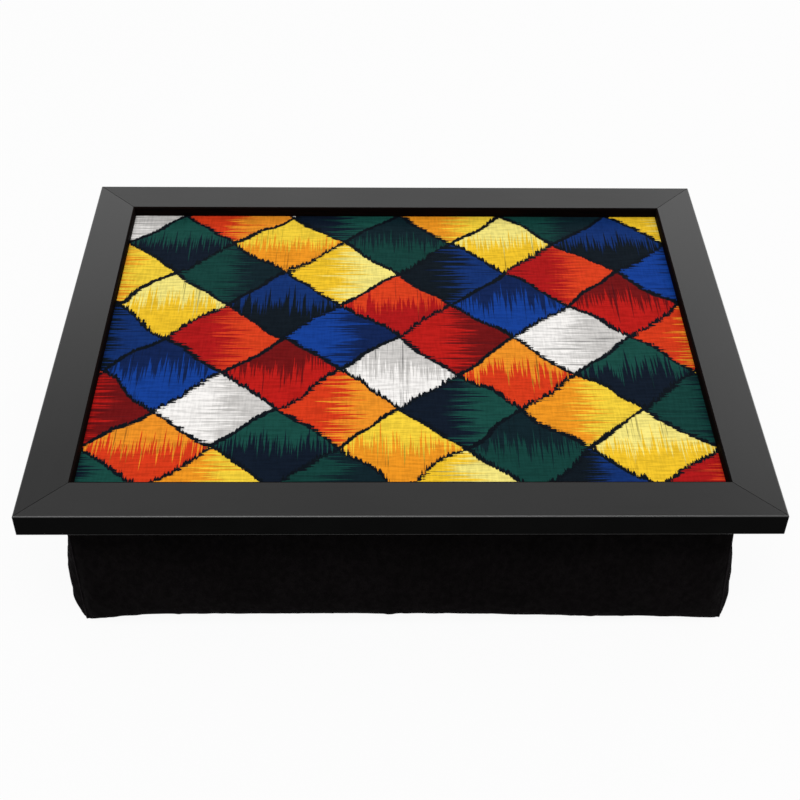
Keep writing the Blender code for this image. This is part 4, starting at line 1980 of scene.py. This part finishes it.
@dataclass
class CoilZip:
    """The zip across the back of the cover.

    Attributes:
        tape_edge: From a tape's edge at the coil to the end of its cord.
        tape_arris: Radius of a tape's edges.
        coil_pitch: Length of a turn of the coil.
        coil_steps: Straight lengths to a turn.
        coil_head: How far the coil's heads reach past the middle.
        filament: Thickness of the coil's nylon.
        stop_dish: How far in the face of a stop is inset, and how deep.
        stop_arris: Radius of a stop's edges.
        wing: Thickness of the slider's wings.
        wing_gap: Clearance of the front wing over the coil, and of its flanges over the tape.
        wing_taper: Width of the wings' tail, as a share of their width.
        wing_arris: Radius of the edges of the front and the back wing.
        nose: Length of the slider's nose, where its post is.
        flange: From the slider's middle to a flange.
        post: Half the width of the post, and how far short of the nose's end it stops.
        post_root: How far the post is let into the back wing and into the front one.
        lug_half: Half the length of the lug.
        lug_bar: Thickness of the lug.
        lug_root: How far the lug is let into the wing, as a share of its thickness.
        lug_steps: Straight lengths to the lug.
        lug_square: How square the lug is; a half ring would be 1.
        stitch_gap: Distance from the middle of the zip to its rows of stitches.
    """

    finishes: Finishes
    tape_edge: float = 1 * MM
    tape_arris: float = 0.15 * MM
    coil_pitch: float = 1.25 * MM
    coil_steps: int = 6
    coil_head: float = 0.35 * MM
    filament: float = 0.55 * MM
    stop_dish: tuple[float, float] = (0.5 * MM, 0.25 * MM)
    stop_arris: float = 0.12 * MM
    wing: float = 0.9 * MM
    wing_gap: tuple[float, float] = (0.3 * MM, 0.5 * MM)
    wing_taper: float = 0.74
    wing_arris: tuple[float, float] = (0.22 * MM, 0.25 * MM)
    nose: float = 2.6 * MM
    flange: float = 2.95 * MM
    post: tuple[float, float] = (0.35 * MM, 0.4 * MM)
    post_root: tuple[float, float] = (0.4 * MM, 0.4 * MM)
    lug_half: float = 2.3 * MM
    lug_bar: float = 0.9 * MM
    lug_root: float = 1 / 3
    lug_steps: int = 10
    lug_square: float = 0.6
    stitch_gap: float = 7.2 * MM

    def build(self, cover: Piece) -> None:
        """Makes the tapes, coils, stops, slider and the rows of stitches in the cover.

        Args:
            cover: The cushion's cover.
        """
        for word, way in (("upper", 1), ("lower", -1)):
            self.tape(word, way)
            self.coil(word, way)
        for word in ("left", "right"):
            self.stop(word)
        self.slider()
        low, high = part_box("zip_tape_upper")
        middle = (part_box("zip_tape_lower")[0].z + high.z) / 2
        behind = high.y * 2
        heights = [middle + way * self.stitch_gap for way in (-1, 1)]
        rows = [(Vector((low.x, behind, z)), Vector((high.x, behind, z))) for z in heights]
        Lockstitch(self.finishes.thread).sew("zip_stitches", cover, rows, Vector((0, -1, 0)))

    def tape(self, word: str, way: int) -> None:
        """A woven tape with a corded edge at the coil.

        Args:
            word: Upper or lower, as the node is named.
            way: 1 for the upper one, -1 for the lower one.
        """
        node = f"zip_tape_{word}"
        low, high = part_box(node)
        tape = block(f"zip_weave_{word}", low, high)
        near = low.z if way > 0 else high.z
        with edit_mode(tape):
            saw((0, 0, near + way * self.tape_edge), (0, 0, 1))
            pick(tape, ItemKind.EDGE, lambda edge: runs_along(edge, 0))
            round_edges(self.tape_arris)
        hand_over(tape, self.finishes.zip_tape, CUSHION, node)

    def coil(self, word: str, way: int) -> None:
        """The coil of one side: a flattened helix whose heads reach past the middle.

        Args:
            word: Upper or lower, as the node is named.
            way: 1 for the upper one, -1 for the lower one.
        """
        node = f"zip_coil_{word}"
        low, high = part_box(node)
        middle = (low + high) / 2
        half = (high - low) / 2
        head = self.coil_head / 2
        points = []
        for step in range(int((high.x - low.x) / self.coil_pitch) * self.coil_steps + 1):
            turn = math.tau * step / self.coil_steps + (math.pi if way > 0 else 0)
            x = low.x + self.coil_pitch * step / self.coil_steps
            y = middle.y + (half.y - self.filament / 2) * math.cos(turn)
            z = middle.z - way * head + (half.z + head - self.filament / 2) * math.sin(turn)
            points.append((x, y, z))
        coil = drawn_wire(f"coil_teeth_{word}", points, self.filament, sides=0)
        hand_over(coil, self.finishes.nylon, CUSHION, node)

    def stop(self, word: str) -> None:
        """An end stop, moulded over both coils.

        Args:
            word: Left or right, as the node is named.
        """
        node = f"zip_stop_{word}"
        stop = block(f"end_stop_{word}", *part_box(node))
        inset, depth = self.stop_dish
        with edit_mode(stop):
            pick(stop, ItemKind.FACE, lambda face: face.normal.y > ALONG)
            bpy.ops.mesh.inset(thickness=inset)
            shift((0, -depth, 0))
            pick_all()
            round_edges(self.stop_arris)
        hand_over(stop, self.finishes.nylon, CUSHION, node)

    def slider(self) -> None:
        """The slider: two wings joined by a post, flanges over the coils, and a lug."""
        low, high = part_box("zip_slider")
        tape_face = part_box("zip_tape_upper")[1].y
        wing_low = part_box("zip_coil_upper")[1].y + self.wing_gap[0]
        wing_high = wing_low + self.wing
        middle = (low + high) / 2
        body = self.front_wing(low, high, wing_low, tape_face)
        back = block("slider_back", low, (high.x, low.y + self.wing, high.z))
        with edit_mode(back):
            self.taper(back, middle.x, low, middle)
            pick_all()
            round_edges(self.wing_arris[1])
        half, short = self.post
        into_back, into_front = self.post_root
        post = block(
            "slider_post",
            (high.x - self.nose, low.y + self.wing - into_back, middle.z - half),
            (high.x - short, wing_low + into_front, middle.z + half),
        )
        join(body, back, post, self.lug(middle, wing_high, high.y))
        bpy.ops.object.shade_smooth_by_angle(angle=math.radians(35))
        body.name = body.data.name = "slider_with_lug"
        hand_over(body, self.finishes.die_cast, SLIDER, "zip_slider")

    def front_wing(self, low: Vector, high: Vector, wing_low: float, tape_face: float) -> Piece:
        """The wing that is seen, with its two flanges.

        Args:
            low: The slider's lowest corner.
            high: Its highest corner.
            wing_low: How far back the wing's inner face is.
            tape_face: How far back the tape's face is.

        Returns:
            The wing.
        """
        middle = (low + high) / 2
        wing = block("slider_body", (low.x, wing_low, low.z), (high.x, wing_low + self.wing, high.z))
        edge_turn = 0.8

        def is_flange(face: bmesh.types.BMFace) -> bool:
            """Whether a face is the root of a flange."""
            out = abs(face.calc_center_median().z - middle.z)
            return face.normal.y < -ALONG and out > self.flange

        with edit_mode(wing):
            saw((high.x - self.nose, 0, 0), (1, 0, 0))
            self.taper(wing, low.x + NEAR, low, middle)
            for way in (-1, 1):
                saw((0, 0, middle.z + way * self.flange), (0, 0, 1))
            pick(wing, ItemKind.FACE, is_flange)
            extrude((0, tape_face + self.wing_gap[1] - wing_low, 0))
            pick(
                wing,
                ItemKind.EDGE,
                lambda edge: len(edge.link_faces) == 2 and edge.calc_face_angle(0) > edge_turn,
            )
            round_edges(self.wing_arris[0])
        return wing

    def taper(self, wing: Piece, before: float, low: Vector, middle: Vector) -> None:
        """Narrows the tail of a wing that is open in edit mode.

        Args:
            wing: The wing.
            before: Where along X the tail ends.
            low: The slider's lowest corner.
            middle: The slider's middle.
        """
        pick(wing, ItemKind.VERT, lambda vert: vert.co.x < before)
        bpy.ops.transform.resize(value=(1, 1, self.wing_taper), center_override=(low.x, middle.y, middle.z))

    def lug(self, middle: Vector, root: float, top: float) -> Piece:
        """The arch on the slider that a pull would hang from.

        Args:
            middle: The slider's middle.
            root: How far back the front wing's face is.
            top: How far back the arch reaches.

        Returns:
            The arch.
        """
        root -= self.lug_bar * self.lug_root
        rise = top - self.lug_bar / 2 - root
        points = []
        for step in range(self.lug_steps + 1):
            turn = math.pi * step / self.lug_steps
            out = root + rise * math.sin(turn) ** self.lug_square
            points.append((middle.x + self.lug_half * math.cos(turn), out, middle.z))
        return drawn_wire("slider_lug", points, self.lug_bar, sides=2)


# The studio


@dataclass(frozen=True)
class Softbox:
    """A rectangular lamp that faces the tray.

    Attributes:
        name: The lamp's name.
        place: Where it hangs.
        size: Its width and height.
        power: Its watts.
    """

    name: str
    place: Place
    size: tuple[float, float]
    power: float

    def hang(self) -> None:
        """Hangs the lamp."""
        lamp = bpy.data.lights.new(self.name, "AREA")
        lamp.shape = "RECTANGLE"
        lamp.size, lamp.size_y = self.size
        lamp.energy = self.power
        hung = in_scene(self.name, lamp)
        hung.location = self.place
        aim = Vector((0, 0, CAD_BOX[1].z)) - Vector(self.place)
        hung.rotation_euler = aim.to_track_quat("-Z", "Y").to_euler()


@dataclass(frozen=True)
class Studio:
    """Floor, light and camera.

    Attributes:
        camera_place: Where the camera stands.
        camera_turn: Its turns about X, Y and Z, in degrees.
        lens: Focal length in millimetres.
        sensor: Width of its sensor in millimetres.
        softboxes: Its lamps: above the camera, overhead, low behind for the back rail to mirror, and
            behind at the right.
        floor_size: Side of the floor.
        floor_drop: How far the floor lies below the cushion.
        floor_shade: Colour of the floor.
        floor_glow: Share of plain white that the floor shows to the camera and in gloss.
        ambient: Strength of the world's light on the object.
    """

    camera_place: Place = (-0.01517, -0.70334, 0.67851)
    camera_turn: Place = (48.4015, -0.6944, -0.7481)
    lens: float = 61.526
    sensor: float = 36
    softboxes: tuple[Softbox, ...] = (
        Softbox("front_softbox", (0.0, -0.85, 1.9), (1.5, 0.8), 23),
        Softbox("key_softbox", (-0.2, -0.1, 2.0), (1.6, 1.0), 3.0),
        Softbox("back_strip", (0.0, 1.9, 1.1), (3.4, 0.85), 10.6),
        Softbox("right_softbox", (1.16, 1.24, 1.06), (0.7, 0.7), 4.0),
    )
    floor_size: float = 30.0
    floor_drop: float = 0.3 * MM
    floor_shade: float = 0.75
    floor_glow: float = 0.94
    ambient: float = 0.32

    def build(self) -> None:
        """Sets the whole studio up."""
        self.set_camera()
        self.set_world()
        self.lay_floor()
        for softbox in self.softboxes:
            softbox.hang()
        bpy.context.scene.view_settings.view_transform = "Standard"

    def set_camera(self) -> None:
        """Stands the camera where the photograph was taken from."""
        lens = bpy.data.cameras.new("camera")
        lens.lens = self.lens
        lens.sensor_width = self.sensor
        camera = in_scene("camera", lens)
        camera.location = self.camera_place
        camera.rotation_euler = [math.radians(turn) for turn in self.camera_turn]
        bpy.context.scene.camera = camera

    @staticmethod
    def seen_directly(tree: bpy.types.NodeTree) -> Socket:
        """Tells a look at a surface from light on its way.

        Args:
            tree: The nodes of the surface or of the world.

        Returns:
            1 where the camera, gloss or glass looks, and 0 for light.
        """
        path = tree.nodes.new("ShaderNodeLightPath")
        seen = path.outputs["Is Camera Ray"]
        for name in ("Is Glossy Ray", "Is Transmission Ray"):
            either = tree.nodes.new("ShaderNodeMath")
            either.operation = "MAXIMUM"
            tree.links.new(seen, either.inputs[0])
            tree.links.new(path.outputs[name], either.inputs[1])
            seen = either.outputs[0]
        return seen

    def set_world(self) -> None:
        """White to look at, and softer as a light."""
        world = bpy.context.scene.world or bpy.data.worlds.new("studio")
        bpy.context.scene.world = world
        world.use_nodes = True
        tree = world.node_tree
        background = tree.nodes["Background"]
        background.inputs["Color"].default_value = (1, 1, 1, 1)
        strength = tree.nodes.new("ShaderNodeMapRange")
        tree.links.new(self.seen_directly(tree), strength.inputs["Value"])
        strength.inputs["To Min"].default_value = self.ambient
        strength.inputs["To Max"].default_value = 1.0
        tree.links.new(strength.outputs[0], background.inputs["Strength"])

    def lay_floor(self) -> None:
        """A plain pale floor that keeps the object's shadow."""
        bpy.ops.object.select_all(action="DESELECT")
        bpy.ops.mesh.primitive_plane_add(size=self.floor_size, location=(0, 0, -self.floor_drop))
        floor = bpy.context.object
        floor.name = floor.data.name = "floor"
        bench = NodeBench("pale_floor")
        bench.finish((*(self.floor_shade,) * 3, 1.0), 0.9, Specular_IOR_Level=0.0)
        glow, mix = bench.add("ShaderNodeEmission"), bench.add("ShaderNodeMixShader")
        share = bench.calc("MULTIPLY", self.seen_directly(bench.tree), self.floor_glow)
        for socket, source in zip(mix.inputs, (share, bench.shader.outputs[0], glow.outputs[0])):
            bench.feed(socket, source)
        bench.feed(bench.tree.nodes["Material Output"].inputs["Surface"], mix.outputs[0])
        floor.data.materials.append(bench.material)


def main() -> None:
    """Builds the tray, its cushion and the studio."""
    logging.basicConfig(level=logging.INFO, format="%(name)s: %(message)s")
    finishes = Finishes()
    Studio().build()
    TrayFrame(finishes).build()
    for face in TapeFace:
        for side in Side:
            tape = TouchTape(face, side)
            tape.dress(tape.build(), finishes)
    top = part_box("cover_top")[1]
    cover = BeadCushion(finishes, top.x, top.y, top.z).build()
    CoilZip(finishes).build(cover)


if __name__ == "__main__":
    main()
